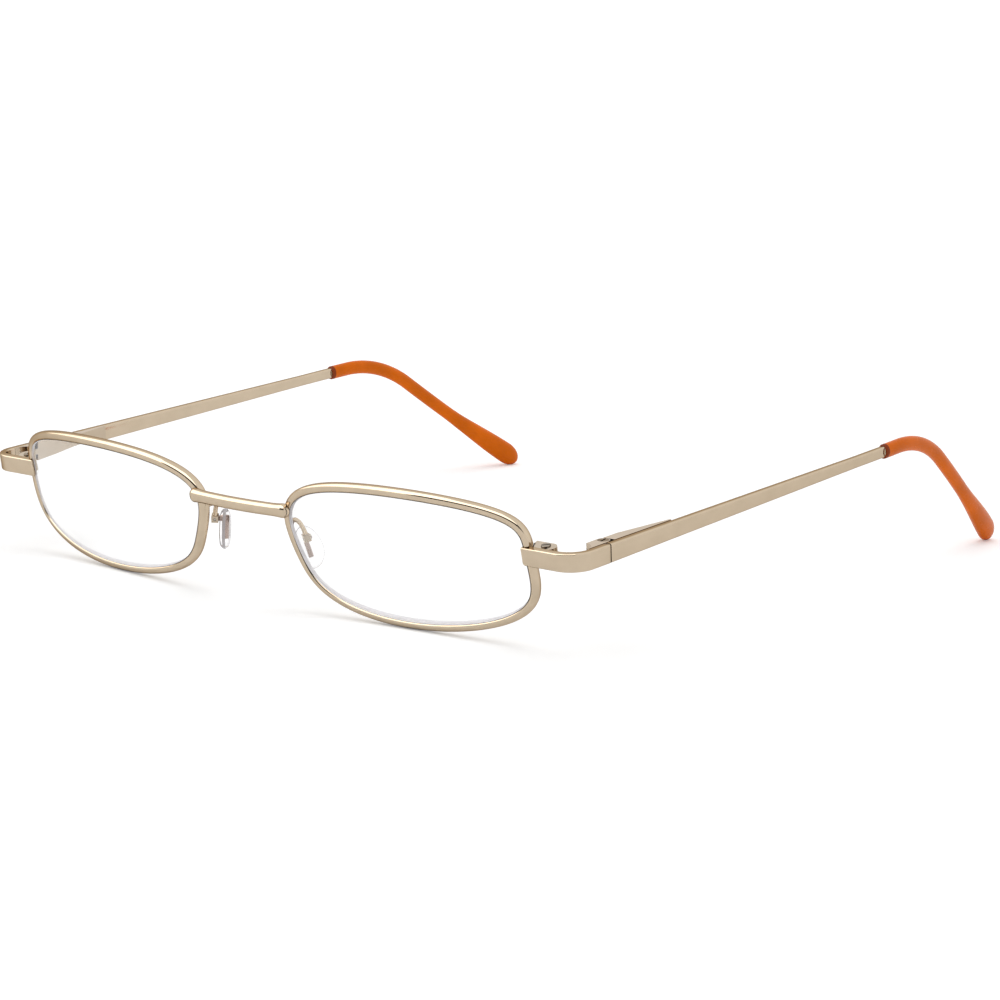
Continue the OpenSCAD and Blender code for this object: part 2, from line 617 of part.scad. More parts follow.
// Plan of the front hinge block: it stands on the end piece's inner side, and its front is
// hollow, so that it carries on the inner curve of the bend.
module front_hinge_plan() {
    block_x = axis_x - knuckle_r;
    difference() {
        translate([block_x, bend_y]) square([inner_x - braze - block_x, axis_y - bend_y]);
        translate([bend_x, bend_y]) circle(turn_r - strip_t + braze);
    }
}
middle_z = middle_h / 2 + knuckle_gap;
pin_seat_z = top_z - pin_head_h;
module front_hinge() {
    color("tan") on_side() difference() {
        translate([0, 0, -top_z]) linear_extrude(strip_h) {
            difference() {
                front_hinge_plan();
                translate([axis_x, axis_y - seam_gap]) square([axis_in, 2 * axis_in]);
            }
            translate([axis_x, axis_y]) circle(knuckle_r);
        }
        translate([axis_x, axis_y, -middle_z]) cylinder(r = knuckle_r + turn_room, h = 2 * middle_z);
        translate([axis_x - 2 * knuckle_r, axis_y - knuckle_r, -middle_z])
            cube([2 * knuckle_r, 3 * knuckle_r, 2 * middle_z]);
        translate([axis_x - 2 * knuckle_r, axis_y, -middle_z])
            cube([4 * knuckle_r, 3 * knuckle_r, 2 * middle_z]);
        translate([axis_x, axis_y, -strip_h]) cylinder(d = pin_d + 2 * pin_fit, h = 2 * strip_h);
        translate([axis_x, axis_y, pin_seat_z - head_fit])
            cylinder(d = pin_head_d + 2 * head_fit, h = strip_h);
    }
}
// Plan of the temple leaf behind the knuckle: full depth, then a long taper to a small end step
module leaf_plan() {
    leaf_x = inner_x - braze;
    polygon([[axis_x - leaf_in, leaf_y], [leaf_x, leaf_y], [leaf_x, leaf_y + leaf_len],
        [leaf_x - leaf_end_t, leaf_y + leaf_len], [axis_x - leaf_in, leaf_y + leaf_flat]]);
}
// Height of the temple bar at length y
function bar_h_at(y) = strip_h + (bar_h - strip_h) * min(max((y - temple_y) / bar_taper, 0), 1);
module rear_hinge() {
    front_h = bar_h_at(leaf_y);
    rear_h = bar_h_at(leaf_y + leaf_len);
    color("tan") on_side() difference() {
        union() {
            intersection() {
                translate([0, 0, -top_z]) linear_extrude(strip_h) leaf_plan();
                rotate([90, 0, 90]) linear_extrude(2 * side_out)
                    polygon([[leaf_y, -front_h / 2], [leaf_y + leaf_len, -rear_h / 2],
                        [leaf_y + leaf_len, rear_h / 2], [leaf_y, front_h / 2]]);
            }
            translate([axis_x, axis_y, -middle_h / 2]) cylinder(r = knuckle_r, h = middle_h);
            translate([axis_x - leaf_in, axis_y, -middle_h / 2])
                cube([leaf_in + knuckle_r, leaf_y - axis_y + strip_t, middle_h]);
        }
        translate([axis_x, axis_y, -strip_h]) cylinder(d = pin_d + 2 * pin_fit, h = 2 * strip_h);
    }
}
module hinge_screw() {
    color("silver") on_side() translate([axis_x, axis_y, pin_seat_z])
        slotted_screw(pin_d, pin_seat_z + top_z, pin_head_d, pin_head_h, 100);
}

// The temple is one bar: flat from the hinge and narrowing to the back, then a shoulder at the tip's
// mouth and a round core wire that follows the tip's middle line.
bar_steps = 8;
bar_rings = [for (i = [0:bar_steps]) let (k = i / bar_steps,
        y = temple_y + (bar_len - seam_gap - braze) * k,
        h = bar_h_at(y), w = strip_t + (bar_t - strip_t) * min((y - temple_y) / bar_taper, 1))
    [for (q = round_rect(w, h, bar_edge_r, ring_n)) [side_out - w / 2 + q[0], y, q[1]]]];
core_steps = 14;
core_rings = [for (i = [0:core_steps]) let (d = core_len * i / core_steps)
    i == 0 ? [for (q = oval(core_d, core_d, ring_n)) [core_x + q[0], mouth_y - braze, q[1]]] :
    tip_ring(d, oval(core_d, core_d, ring_n))];
module temple() {
    color("tan") on_side() skin(concat(bar_rings, core_rings));
}
// The tip is a sleeve: its bore follows the core wire, and its outside swells into the foot.
bore_d = core_d + 2 * core_fit;
bore_rings = [for (i = [core_steps:-1:0]) let (d = (core_len + core_fit) * i / core_steps)
    tip_ring(d, oval(bore_d, bore_d, ring_n))];
module tip() {
    color("chocolate") on_side() skin(concat(bore_rings, tip_rings));
}

// Places a nose pad's own axes: x away from the nose, y to the back, z up along the pad
pad_y = rim_to_front(section(arm_at, 0, 0))[1] + pad_behind;
module on_pad() {
    on_front() translate([pad_x, pad_y, -pad_down]) rotate([0, 0, -pad_splay])
        rotate([0, -pad_flare, 0]) rotate([pad_pitch, 0, 0]) children();
}
function pad_to_front(p) = turn_z(turn_y(turn_x(p, pad_pitch), -pad_flare), -pad_splay)
    + [pad_x, pad_y, -pad_down];

// The pad arm is a wire that leaves the rim's back, swings towards the nose and comes down onto
// the pad box: a cubic curve between the two faces that it is brazed to.
arm_root = rim_to_front(section(arm_at, 0, rim_d / 2 + braze));
arm_dir = unit(rim_to_front(section(arm_at, 0, rim_d)) - rim_to_front(section(arm_at, 0, 0)));
arm_end = pad_to_front([pad_axis, 0, pad_high + pad_box_h / 2 + braze]);
arm_end_dir = unit(pad_to_front([0, 0, 1]) - pad_to_front([0, 0, 0]));
arm_p1 = arm_root + arm_out * arm_dir - [arm_swing, 0, 0];
arm_p2 = arm_end + arm_lead * arm_end_dir;
function arm_point(k) = pow(1 - k, 3) * arm_root + 3 * pow(1 - k, 2) * k * arm_p1
    + 3 * (1 - k) * k * k * arm_p2 + pow(k, 3) * arm_end;
arm_steps = 16;
arm_sides = 10;
arm_step = 0.01;
function arm_ring(k) =
    let (f = k == 0 ? arm_dir : k == 1 ? -arm_end_dir
            : unit(arm_point(k + arm_step) - arm_point(k - arm_step)),
         s = unit([1, 0, 0] - f[0] * f), n = cross(s, f))
    [for (i = [0:arm_sides - 1]) let (a = 360 * i / arm_sides)
        arm_point(k) + arm_d / 2 * (cos(a) * s + sin(a) * n)];
module pad_arm() {
    color("tan") on_front() skin([for (i = [0:arm_steps]) arm_ring(i / arm_steps)]);
}
// The pad box is a small block with a slot that takes the insert's eye.
module pad_box() {
    color("tan") on_pad() translate([0, 0, pad_high]) difference() {
        translate([pad_axis - pad_box_d / 2, -pad_box_w / 2, -pad_box_h / 2])
            cube([pad_box_d, pad_box_w, pad_box_h]);
        translate([pad_axis - 2 * pad_box_d, -pad_slot_w / 2, -pad_box_h])
            cube([2 * pad_box_d + eye_r + eye_room, pad_slot_w, 2 * pad_box_h]);
        translate([pad_axis, pad_box_w, 0]) rotate([90, 0, 0])
            cylinder(d = pad_shank_d + 2 * pin_fit, h = 2 * pad_box_w);
    }
}
module pad_screw() {
    color("silver") on_pad() translate([pad_axis, pad_box_w / 2 + braze, pad_high]) rotate([-90, 0, 0])
        slotted_screw(pad_shank_d, pad_box_w, pad_head_d, pad_head_h, 20);
}
// The insert is a bar inside the pad, which hangs from a neck and an eye that reach into the pad
// box. z = 0 is the eye's middle, and g is how much larger than the insert its shape is taken on
// all sides.
eye_w = pad_slot_w - 2 * eye_room;
module insert_shape(g) {
    translate([-insert_t / 2 - g, -insert_w / 2 - g, eye_r - insert_h - g])
        cube([insert_t + 2 * g, insert_w + 2 * g, insert_h + 2 * g]);
    translate([0, -eye_w / 2 - g, -eye_r - g])
        cube([pad_axis, eye_w + 2 * g, 2 * eye_r + 2 * g]);
}
module pad_insert() {
    color("silver") on_pad() translate([0, 0, pad_high]) difference() {
        union() {
            insert_shape(0);
            translate([pad_axis, eye_w / 2, 0]) rotate([90, 0, 0]) cylinder(r = eye_r, h = eye_w);
        }
        translate([pad_axis, pad_box_w, 0]) rotate([90, 0, 0])
            cylinder(d = pad_shank_d + 2 * pin_fit, h = 2 * pad_box_w);
    }
}
// The pad is a soft teardrop plate: fuller below, with round edges on both faces. pad_full is how
// much fuller, and pad_round is how much smaller its faces are than its middle.
pad_sides = 24;
pad_full = 0.14;
pad_round = 0.3;
function pad_ring(x, k) = [for (i = [0:pad_sides - 1]) let (a = 360 * i / pad_sides)
    [x, k * pad_w / 2 * sin(a) * (1 - pad_full * cos(a)), k * pad_len / 2 * cos(a)]];
pad_angles = [10, 25, 45, 65, 90, 115, 135, 155, 170];
module nose_pad() {
    color("whitesmoke", 0.6) on_pad() difference() {
        skin([for (a = pad_angles) pad_ring(-pad_t / 2 * cos(a), 1 - pad_round * (1 - sin(a)))]);
        translate([0, 0, pad_high]) insert_shape(braze);
    }
}

rim();  // left_rim
right() rim();  // right_rim
lens();  // left_lens
right() lens();  // right_lens
bridge();
upper_lock();  // left_upper_lock
right() upper_lock();  // right_upper_lock
lower_lock();  // left_lower_lock
right() lower_lock();  // right_lower_lock
lock_screw();  // left_lock_screw
right() lock_screw();  // right_lock_screw
end_piece();  // left_end_piece
right() end_piece();  // right_end_piece
front_hinge();  // left_front_hinge
right() front_hinge();  // right_front_hinge
rear_hinge();  // left_rear_hinge
right() rear_hinge();  // right_rear_hinge
hinge_screw();  // left_hinge_screw
right() hinge_screw();  // right_hinge_screw
temple();  // left_temple
right() temple();  // right_temple
tip();  // left_tip
right() tip();  // right_tip
pad_arm();  // left_pad_arm
right() pad_arm();  // right_pad_arm
pad_box();  // left_pad_box
right() pad_box();  // right_pad_box
pad_screw();  // left_pad_screw
right() pad_screw();  // right_pad_screw
pad_insert();  // left_pad_insert
right() pad_insert();  // right_pad_insert
nose_pad();  // left_nose_pad
right() nose_pad();  // right_nose_pad
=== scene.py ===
"""Looks for a pair of reading glasses with thin satin metal rims and orange temple tips.

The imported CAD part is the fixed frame. Its hinges, closing blocks, pad boxes, pad inserts and screws
are shown as they are, in a finer finish. The rims, lenses, bridge, end pieces, temples, tips, pad
arms and nose pads are drawn again here as smooth surfaces from the same sizes. Lengths inside the
classes are in millimetres, and `MeshMaker` turns them into the metres of the shared frame.
"""

import logging
import math
from dataclasses import dataclass, field
from enum import Enum
from functools import partial

import bpy
import numpy as np
from mathutils import Matrix, Vector


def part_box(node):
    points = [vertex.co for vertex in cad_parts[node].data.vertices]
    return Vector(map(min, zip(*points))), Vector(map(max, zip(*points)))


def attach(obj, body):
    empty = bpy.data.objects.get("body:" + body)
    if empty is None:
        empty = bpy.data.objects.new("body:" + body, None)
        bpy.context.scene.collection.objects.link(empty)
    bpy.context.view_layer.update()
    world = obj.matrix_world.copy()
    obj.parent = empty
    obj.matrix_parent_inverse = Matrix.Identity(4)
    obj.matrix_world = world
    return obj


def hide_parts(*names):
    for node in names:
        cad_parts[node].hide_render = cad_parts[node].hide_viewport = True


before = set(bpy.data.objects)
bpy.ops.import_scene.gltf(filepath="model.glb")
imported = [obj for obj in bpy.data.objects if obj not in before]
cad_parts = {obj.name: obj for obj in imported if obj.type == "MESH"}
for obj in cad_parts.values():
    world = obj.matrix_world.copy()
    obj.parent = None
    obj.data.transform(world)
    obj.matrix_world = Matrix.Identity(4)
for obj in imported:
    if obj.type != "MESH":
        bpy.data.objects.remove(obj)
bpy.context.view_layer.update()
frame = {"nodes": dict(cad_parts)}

LOG = logging.getLogger("reading_glasses")
MM = 0.001
X_AXIS, Y_AXIS, Z_AXIS = np.eye(3)

# Room for the solder between brazed pieces, in millimetres
SOLDER = 0.03
# Nearly all values of a noise lie between these two
NOISE_LOW, NOISE_HIGH = 0.3, 0.7
# How near, in metres, another surface darkens a metal with painted corner shade, and the shares of
# open air where that shade is full and where it ends
CORNER_REACH = 0.0005
CORNER_CLOSED, CORNER_OPEN = 0.25, 0.8

Cells = tuple[float, float, float]
Colour = tuple[float, float, float]
Material = bpy.types.Material
Piece = bpy.types.Object
Socket = bpy.types.NodeSocket


class Side(Enum):
    """The wearer's two sides. The value is the sign of x."""

    LEFT = 1
    RIGHT = -1

    @property
    def word(self) -> str:
        """Lower-case name of the side, as in the CAD nodes' names."""
        return self.name.lower()


# Small vector tools: each one works on whole arrays of points


def unit(vectors: np.ndarray) -> np.ndarray:
    """Scales vectors to length one: each is divided by the root of its squares' sum.

    Args:
        vectors: array whose last axis holds the coordinates.

    Returns:
        An array of the same shape.
    """
    return vectors / np.linalg.norm(vectors, axis=-1, keepdims=True)


def turn_about(axis: int, points: np.ndarray, angle: float) -> np.ndarray:
    """Turns points about an axis: u' = u cos - v sin and v' = u sin + v cos for the two axes after it.

    Args:
        axis: number of the axis, 0 for x, 1 for y and 2 for z.
        points: array of points.
        angle: angle in degrees.

    Returns:
        The turned points.
    """
    c, s = math.cos(math.radians(angle)), math.sin(math.radians(angle))
    first, second = (axis + 1) % 3, (axis + 2) % 3
    turned = np.array(points, float)
    u, v = turned[..., first].copy(), turned[..., second].copy()
    turned[..., first] = u * c - v * s
    turned[..., second] = u * s + v * c
    return turned


# The same for each of the axes
turn_x, turn_y, turn_z = (partial(turn_about, axis) for axis in range(3))


def carry(line: np.ndarray, ahead: np.ndarray, section: np.ndarray) -> np.ndarray:
    """Carries a section along a line. Its own x direction is the x axis made square to the line.

    Args:
        line: array (rings, 3) of points of the middle line.
        ahead: array (rings, 3) of steps along the line.
        section: array (points, 2), or (rings, points, 2) where the section changes.

    Returns:
        Array (rings, points, 3).
    """
    f = unit(ahead)
    s = unit(X_AXIS - f[:, :1] * f)
    n = np.cross(s, f)
    return line[:, None] + section[..., :1] * s[:, None] + section[..., 1:] * n[:, None]


def direction(azimuth: float, elevation: float) -> Vector:
    """Unit vector (sin az cos el, -cos az cos el, sin el).

    Args:
        azimuth: angle round the glasses in degrees, 0 in front and 90 on the wearer's left.
        elevation: angle above the floor in degrees.

    Returns:
        The vector from the glasses outwards.
    """
    az, el = math.radians(azimuth), math.radians(elevation)
    return Vector((math.sin(az) * math.cos(el), -math.cos(az) * math.cos(el), math.sin(el)))


def ease(values: np.ndarray) -> np.ndarray:
    """Smooth step: k squared times (3 - 2 k), with k the value held between 0 and 1.

    Args:
        values: array of shares.

    Returns:
        The eased shares.
    """
    k = np.clip(values, 0.0, 1.0)
    return k * k * (3.0 - 2.0 * k)


def sag(radius: float, q: np.ndarray) -> np.ndarray:
    """Depth of a sphere's surface behind its front point: r minus the root of r squared less q squared.

    Args:
        radius: the sphere's radius.
        q: distances from the axis.

    Returns:
        The depths.
    """
    return radius - np.sqrt(radius * radius - q * q)


def rounded_rectangle(width: float, height: float, radius: float, steps: int) -> np.ndarray:
    """Outline of a rectangle with round corners: four quarter arcs about the corners' centres.

    Args:
        width: width of the rectangle.
        height: height of the rectangle.
        radius: radius of the corners.
        steps: pieces of each quarter arc.

    Returns:
        An array of 4 * (steps + 1) points, counter-clockwise.
    """
    quarter = np.radians(np.linspace(0.0, 90.0, steps + 1))
    arcs = []
    for sx, sy, start in ((1, 1, 0), (-1, 1, 90), (-1, -1, 180), (1, -1, 270)):
        a = quarter + math.radians(start)
        x = sx * (width / 2 - radius) + radius * np.cos(a)
        y = sy * (height / 2 - radius) + radius * np.sin(a)
        arcs.append(np.stack([x, y], axis=-1))
    return np.concatenate(arcs)


def ellipse(width: float, height: float, count: int, start: float = 0.0) -> np.ndarray:
    """Outline of an ellipse: half width times cos a, half height times sin a.

    Args:
        width: width of the ellipse.
        height: height of the ellipse.
        count: number of points.
        start: angle of the first point in radians.

    Returns:
        An array of count points, counter-clockwise.
    """
    a = start + np.linspace(0.0, 2.0 * math.pi, count, endpoint=False)
    return np.stack([width / 2 * np.cos(a), height / 2 * np.sin(a)], axis=-1)


# Meshes


@dataclass
class MeshMaker:
    """Turns rings of points into smooth closed meshes that stand in the shared frame.

    Attributes:
        crease: edges sharper than this angle, in degrees, stay sharp.
    """

    crease: float = 38.0

    def skin(self, name: str, rings: np.ndarray, side: Side, crease: float | None = None) -> Piece:
        """Closed skin: neighbouring rings are joined by quads and the first and last ring are filled.

        The signed volume is a sixth of the sum of a . (b x c) over the triangles. Where it comes
        out negative, every face is turned over, so that the faces point outwards.

        Args:
            name: name of the new object.
            rings: array (rings, points, 3) in millimetres, for the wearer's left side.
            side: the side to make. The right side has its x turned round.
            crease: sharp-edge angle in degrees, or None for the maker's own.

        Returns:
            The new object at the origin.
        """
        rings = np.asarray(rings, float) * [side.value, 1.0, 1.0]
        n, m = rings.shape[:2]
        index = np.arange(n * m).reshape(n, m)
        after = np.roll(index, -1, axis=1)
        quads = np.stack([index[:-1], after[:-1], after[1:], index[1:]], axis=-1).reshape(-1, 4)
        points = rings.reshape(-1, 3)
        a, b, c, d = (points[quads[:, k]] for k in range(4))
        volume = (a * np.cross(b, c)).sum() + (a * np.cross(c, d)).sum()
        volume += self._cap_volume(rings[0][::-1]) + self._cap_volume(rings[-1])
        faces = quads.tolist() + [index[0][::-1].tolist(), index[-1].tolist()]
        if volume < 0:
            faces = [face[::-1] for face in faces]
        return self._object(name, points, faces, self.crease if crease is None else crease)

    @staticmethod
    def second_finish(piece: Piece, material: Material, *faces: slice) -> None:
        """Gives some faces of a skin another finish.

        A skin's faces are its bands from the first ring on, then the first and the last cap.

        Args:
            piece: a piece that `skin` made, with its main finish already on it.
            material: the other finish.
            faces: which of its faces, as one or more runs.
        """
        piece.data.materials.append(material)
        slots = np.zeros(len(piece.data.polygons), dtype=np.int32)
        for run in faces:
            slots[run] = 1
        piece.data.polygons.foreach_set("material_index", slots)
        piece.data.update()

    @staticmethod
    def _cap_volume(ring: np.ndarray) -> float:
        """Six times the signed volume under a fan over one ring: the sum of p0 . (p1 x p2)."""
        return float((ring[0] * np.cross(ring[1:-1], ring[2:])).sum())

    @staticmethod
    def _object(name: str, points: np.ndarray, faces: list, crease: float) -> Piece:
        """Makes the object from points in millimetres, shades it smooth and keeps its sharp edges.

        Args:
            name: name of the new object.
            points: array of points in millimetres.
            faces: lists of point numbers.
            crease: sharp-edge angle in degrees.

        Returns:
            The new object, linked to the scene.
        """
        mesh = bpy.data.meshes.new(name)
        mesh.from_pydata((points * MM).tolist(), [], faces)
        mesh.validate()
        mesh.polygons.foreach_set("use_smooth", np.ones(len(mesh.polygons), dtype=bool))
        mesh.set_sharp_from_angle(angle=math.radians(crease))
        mesh.update()
        piece = bpy.data.objects.new(name, mesh)
        bpy.context.scene.collection.objects.link(piece)
        return piece


MESHES = MeshMaker()


# Finishes


@dataclass
class NodeDesk:
    """Short ways to lay out the nodes of a material or of the world.

    Attributes:
        owner: the material or the world.
    """

    owner: Material | bpy.types.World

    def __post_init__(self) -> None:
        """Empties the owner's node tree."""
        self.owner.use_nodes = True
        self.owner.node_tree.nodes.clear()

    @classmethod
    def fresh(cls, name: str) -> "NodeDesk":
        """Starts a new material."""
        return cls(bpy.data.materials.new(name))

    def add(self, kind: str, **sockets: object) -> bpy.types.Node:
        """Adds a node and sets its inputs.

        Args:
            kind: the node's type name.
            sockets: input names, with underscores for spaces, and their values or output sockets.

        Returns:
            The new node.
        """
        node = self.owner.node_tree.nodes.new(kind)
        for key, value in sockets.items():
            self.put(node, key.replace("_", " "), value)
        return node

    def put(self, node: bpy.types.Node, socket: str | int, value: object) -> None:
        """Sets one input to a plain value, or links an output socket to it."""
        if isinstance(value, Socket):
            self.owner.node_tree.links.new(value, node.inputs[socket])
        else:
            node.inputs[socket].default_value = value

    def noise(self, scale: Cells, detail: float) -> Socket:
        """Noise on the object's own coordinates, stretched by a scale for each axis.

        Args:
            scale: cells per metre along x, y and z.
            detail: octaves of finer noise.

        Returns:
            The noise's value socket, from 0 to 1.
        """
        place = self.add("ShaderNodeTexCoord")
        mapping = self.add("ShaderNodeMapping", Vector=place.outputs["Object"], Scale=scale)
        noise = self.add(
            "ShaderNodeTexNoise", Vector=mapping.outputs["Vector"], Scale=1.0, Detail=detail, Roughness=0.5
        )
        return noise.outputs["Fac"]

    def spread(
        self, value: Socket, low: float, high: float, start: float = NOISE_LOW, stop: float = NOISE_HIGH
    ) -> Socket:
        """Maps start..stop of a value onto low..high in a straight line, and holds it there outside."""
        node = self.add(
            "ShaderNodeMapRange", Value=value, From_Min=start, From_Max=stop, To_Min=low, To_Max=high
        )
        return node.outputs["Result"]

    def blend(self, value: Socket, low: Colour, high: Colour) -> Socket:
        """Goes from one colour to another in a straight line, over the range of a noise's values."""
        ramp = self.add("ShaderNodeValToRGB", Fac=value)
        ends = ramp.color_ramp.elements
        ends[0].position, ends[0].color = NOISE_LOW, (*low, 1.0)
        ends[1].position, ends[1].color = NOISE_HIGH, (*high, 1.0)
        return ramp.outputs["Color"]

    def bump(self, height: Socket, distance: float) -> Socket:
        """Bump whose height of 1 stands for a distance in metres."""
        node = self.add("ShaderNodeBump", Height=height, Distance=distance, Strength=1.0)
        return node.outputs["Normal"]

    def painted_corner_shade(self, unshaded: Socket, corner_shade_tint: Colour) -> Socket:
        """Paints shade into a colour in corners and gaps, darker where the surface is more closed in.

        Args:
            unshaded: the surface's colour away from corners.
            corner_shade_tint: colour that multiplies it in a closed corner, as painted shade.

        Returns:
            The darkened colour's socket.
        """
        air = self.add("ShaderNodeAmbientOcclusion", Distance=CORNER_REACH)
        air.samples = 8
        closed = self.spread(air.outputs["AO"], 1.0, 0.0, CORNER_CLOSED, CORNER_OPEN)
        closed.node.interpolation_type = "SMOOTHSTEP"
        mix = self.add("ShaderNodeMix")
        mix.data_type, mix.blend_type = "RGBA", "MULTIPLY"
        for socket, value in ((0, closed), (6, unshaded), (7, (*corner_shade_tint, 1.0))):
            self.put(mix, socket, value)
        return mix.outputs[2]

    def mix(self, share: Socket, first: Socket, second: Socket) -> Socket:
        """Mixes two shaders: none of the second one at a share of 0, and only that at 1."""
        node = self.add("ShaderNodeMixShader", Fac=share)
        self.put(node, 1, first)
        self.put(node, 2, second)
        return node.outputs["Shader"]

    def close(self, shader: Socket) -> Material:
        """Links the shader to the material's output and returns the material."""
        self.add("ShaderNodeOutputMaterial", Surface=shader)
        return self.owner


@dataclass(frozen=True)
class SatinMetal:
    """Coated metal with a fine satin grain, small tone changes, a soft sheen and painted shade in its
    corners.

    Attributes:
        name: name of the material.
        light: colour of the lighter patches.
        dark: colour of the darker patches.
        shine: lowest and highest roughness.
        patches: cells per metre of the tone changes along x, y and z.
        grain: cells per metre of the grain along x, y and z.
        depth: height of the grain in metres.
        corner_shade_tint: colour that multiplies the metal's in corners, as painted shade.
        grazing: share of each colour that it reflects at a grazing angle.
    """

    name: str
    light: Colour
    dark: Colour
    shine: tuple[float, float] = (0.06, 0.11)
    patches: Cells = (420.0, 260.0, 420.0)
    grain: Cells = (9000.0, 1500.0, 9000.0)
    depth: float = 0.0000008
    corner_shade_tint: Colour = (0.2, 0.15, 0.11)
    grazing: Colour = (0.42, 0.33, 0.25)

    def material(self) -> Material:
        """Builds the material.

        Returns:
            A metal whose colour, roughness and bump come from noise on Object coordinates.
        """
        desk = NodeDesk.fresh(self.name)
        tone = desk.blend(desk.noise(self.patches, detail=4.0), self.dark, self.light)
        grain = desk.noise(self.grain, detail=2.0)
        shader = desk.add(
            "ShaderNodeBsdfPrincipled",
            # Base colour darkened by painted shade in corners and gaps
            Base_Color=desk.painted_corner_shade(tone, self.corner_shade_tint),
            Metallic=1.0,
            Roughness=desk.spread(grain, *self.shine),
            Specular_Tint=(*self.grazing, 1.0),
            Normal=desk.bump(grain, self.depth),
        )
        return desk.close(shader.outputs["BSDF"])


@dataclass(frozen=True)
class ClearResin:
    """Clear hard resin or soft silicone.

    Attributes:
        name: name of the material.
        tint: colour of the light that comes through.
        roughness: roughness of the surface.
        bend: index of refraction.
        ripple: height of the surface's faint waves in metres.
        edge: tint where the surface is seen along its face, painted shade that darkens the outline, or None
            for the same tint.
        edge_blend: how far from the outline that tint begins, from 0 to 1.
        waves: cells per metre of the waves along x, y and z.
    """

    name: str
    tint: Colour
    roughness: float
    bend: float
    ripple: float
    edge: Colour | None = None
    edge_blend: float = 0.35
    waves: Cells = (90.0, 90.0, 90.0)

    def material(self) -> Material:
        """Builds the material.

        Returns:
            A clear material that lets shadow rays through, with a faint ripple.
        """
        desk = NodeDesk.fresh(self.name)
        shader = desk.add(
            "ShaderNodeBsdfPrincipled",
            Base_Color=(*self.tint, 1.0),
            Roughness=self.roughness,
            IOR=self.bend,
            Transmission_Weight=1.0,
            Normal=desk.bump(desk.noise(self.waves, detail=1.0), self.ripple),
        )
        # Painted shade: a darker tint where the face is seen edge-on draws the outline
        if self.edge is not None:
            facing = desk.add("ShaderNodeLayerWeight", Blend=self.edge_blend)
            desk.put(shader, "Base Color", desk.blend(facing.outputs["Facing"], self.tint, self.edge))
        path = desk.add("ShaderNodeLightPath")
        through = desk.add("ShaderNodeBsdfTransparent", Color=(*self.tint, 1.0))
        both = desk.mix(path.outputs["Is Shadow Ray"], shader.outputs["BSDF"], through.outputs["BSDF"])
        return desk.close(both)


@dataclass(frozen=True)
class GroundEdge:
    """Rough pale resin with fine marks and a faint painted glow, for the lens's ground edge and the nose
    pad's thick rim.

    Attributes:
        name: name of the material.
        light: colour of the lighter patches.
        dark: colour of the darker patches.
        clearness: share of the light that goes through.
        painted_glow: strength of a painted glow that the edge gives off, standing in for light carried out
            from inside the clear piece.
        shine: lowest and highest roughness.
        marks: cells per metre of the marks along x, y and z.
        depth: height of the marks in metres.
    """

    name: str
    light: Colour
    dark: Colour
    clearness: float
    painted_glow: float
    shine: tuple[float, float] = (0.45, 0.6)
    marks: Cells = (2600.0, 2600.0, 5200.0)
    depth: float = 0.000003

    def material(self) -> Material:
        """Builds the material.

        Returns:
            A rough resin whose tone and bump come from a fine noise.
        """
        desk = NodeDesk.fresh(self.name)
        marks = desk.noise(self.marks, detail=3.0)
        shader = desk.add(
            "ShaderNodeBsdfPrincipled",
            Base_Color=desk.blend(marks, self.dark, self.light),
            Roughness=desk.spread(marks, *self.shine),
            IOR=1.5,
            Transmission_Weight=self.clearness,
            # Painted glow: the edge gives off light of its own
            Emission_Color=(1.0, 0.98, 0.98, 1.0),
            Emission_Strength=self.painted_glow,
            Normal=desk.bump(marks, self.depth),
        )
        return desk.close(shader.outputs["BSDF"])


@dataclass(frozen=True)
class OrangeSleeve:
    """Glossy orange plastic of the temple tips.

    Attributes:
        name: name of the material.
        light: colour of the lighter patches.
        dark: colour of the darker patches.
        shine: lowest and highest roughness.
        bend: index of refraction, which sets the strength of the gloss.
        cloud: cells per metre of the tone changes along x, y and z.
        grain: cells per metre of the uneven polish along x, y and z.
        depth: height of the uneven polish in metres.
    """

    name: str
    light: Colour
    dark: Colour
    shine: tuple[float, float] = (0.2, 0.28)
    bend: float = 1.17
    cloud: Cells = (160.0, 160.0, 160.0)
    grain: Cells = (1400.0, 1400.0, 1400.0)
    depth: float = 0.0000005

    def material(self) -> Material:
        """Builds the material.

        Returns:
            A plastic with slow tone changes and a faintly uneven polish.
        """
        desk = NodeDesk.fresh(self.name)
        grain = desk.noise(self.grain, detail=2.0)
        shader = desk.add(
            "ShaderNodeBsdfPrincipled",
            Base_Color=desk.blend(desk.noise(self.cloud, detail=3.0), self.dark, self.light),
            Roughness=desk.spread(grain, *self.shine),
            IOR=self.bend,
            Normal=desk.bump(grain, self.depth),
        )
        return desk.close(shader.outputs["BSDF"])


def made(recipe: SatinMetal | ClearResin | GroundEdge | OrangeSleeve) -> Material:
    """Field whose material is built from its recipe along with the finishes."""
    return field(default_factory=recipe.material)


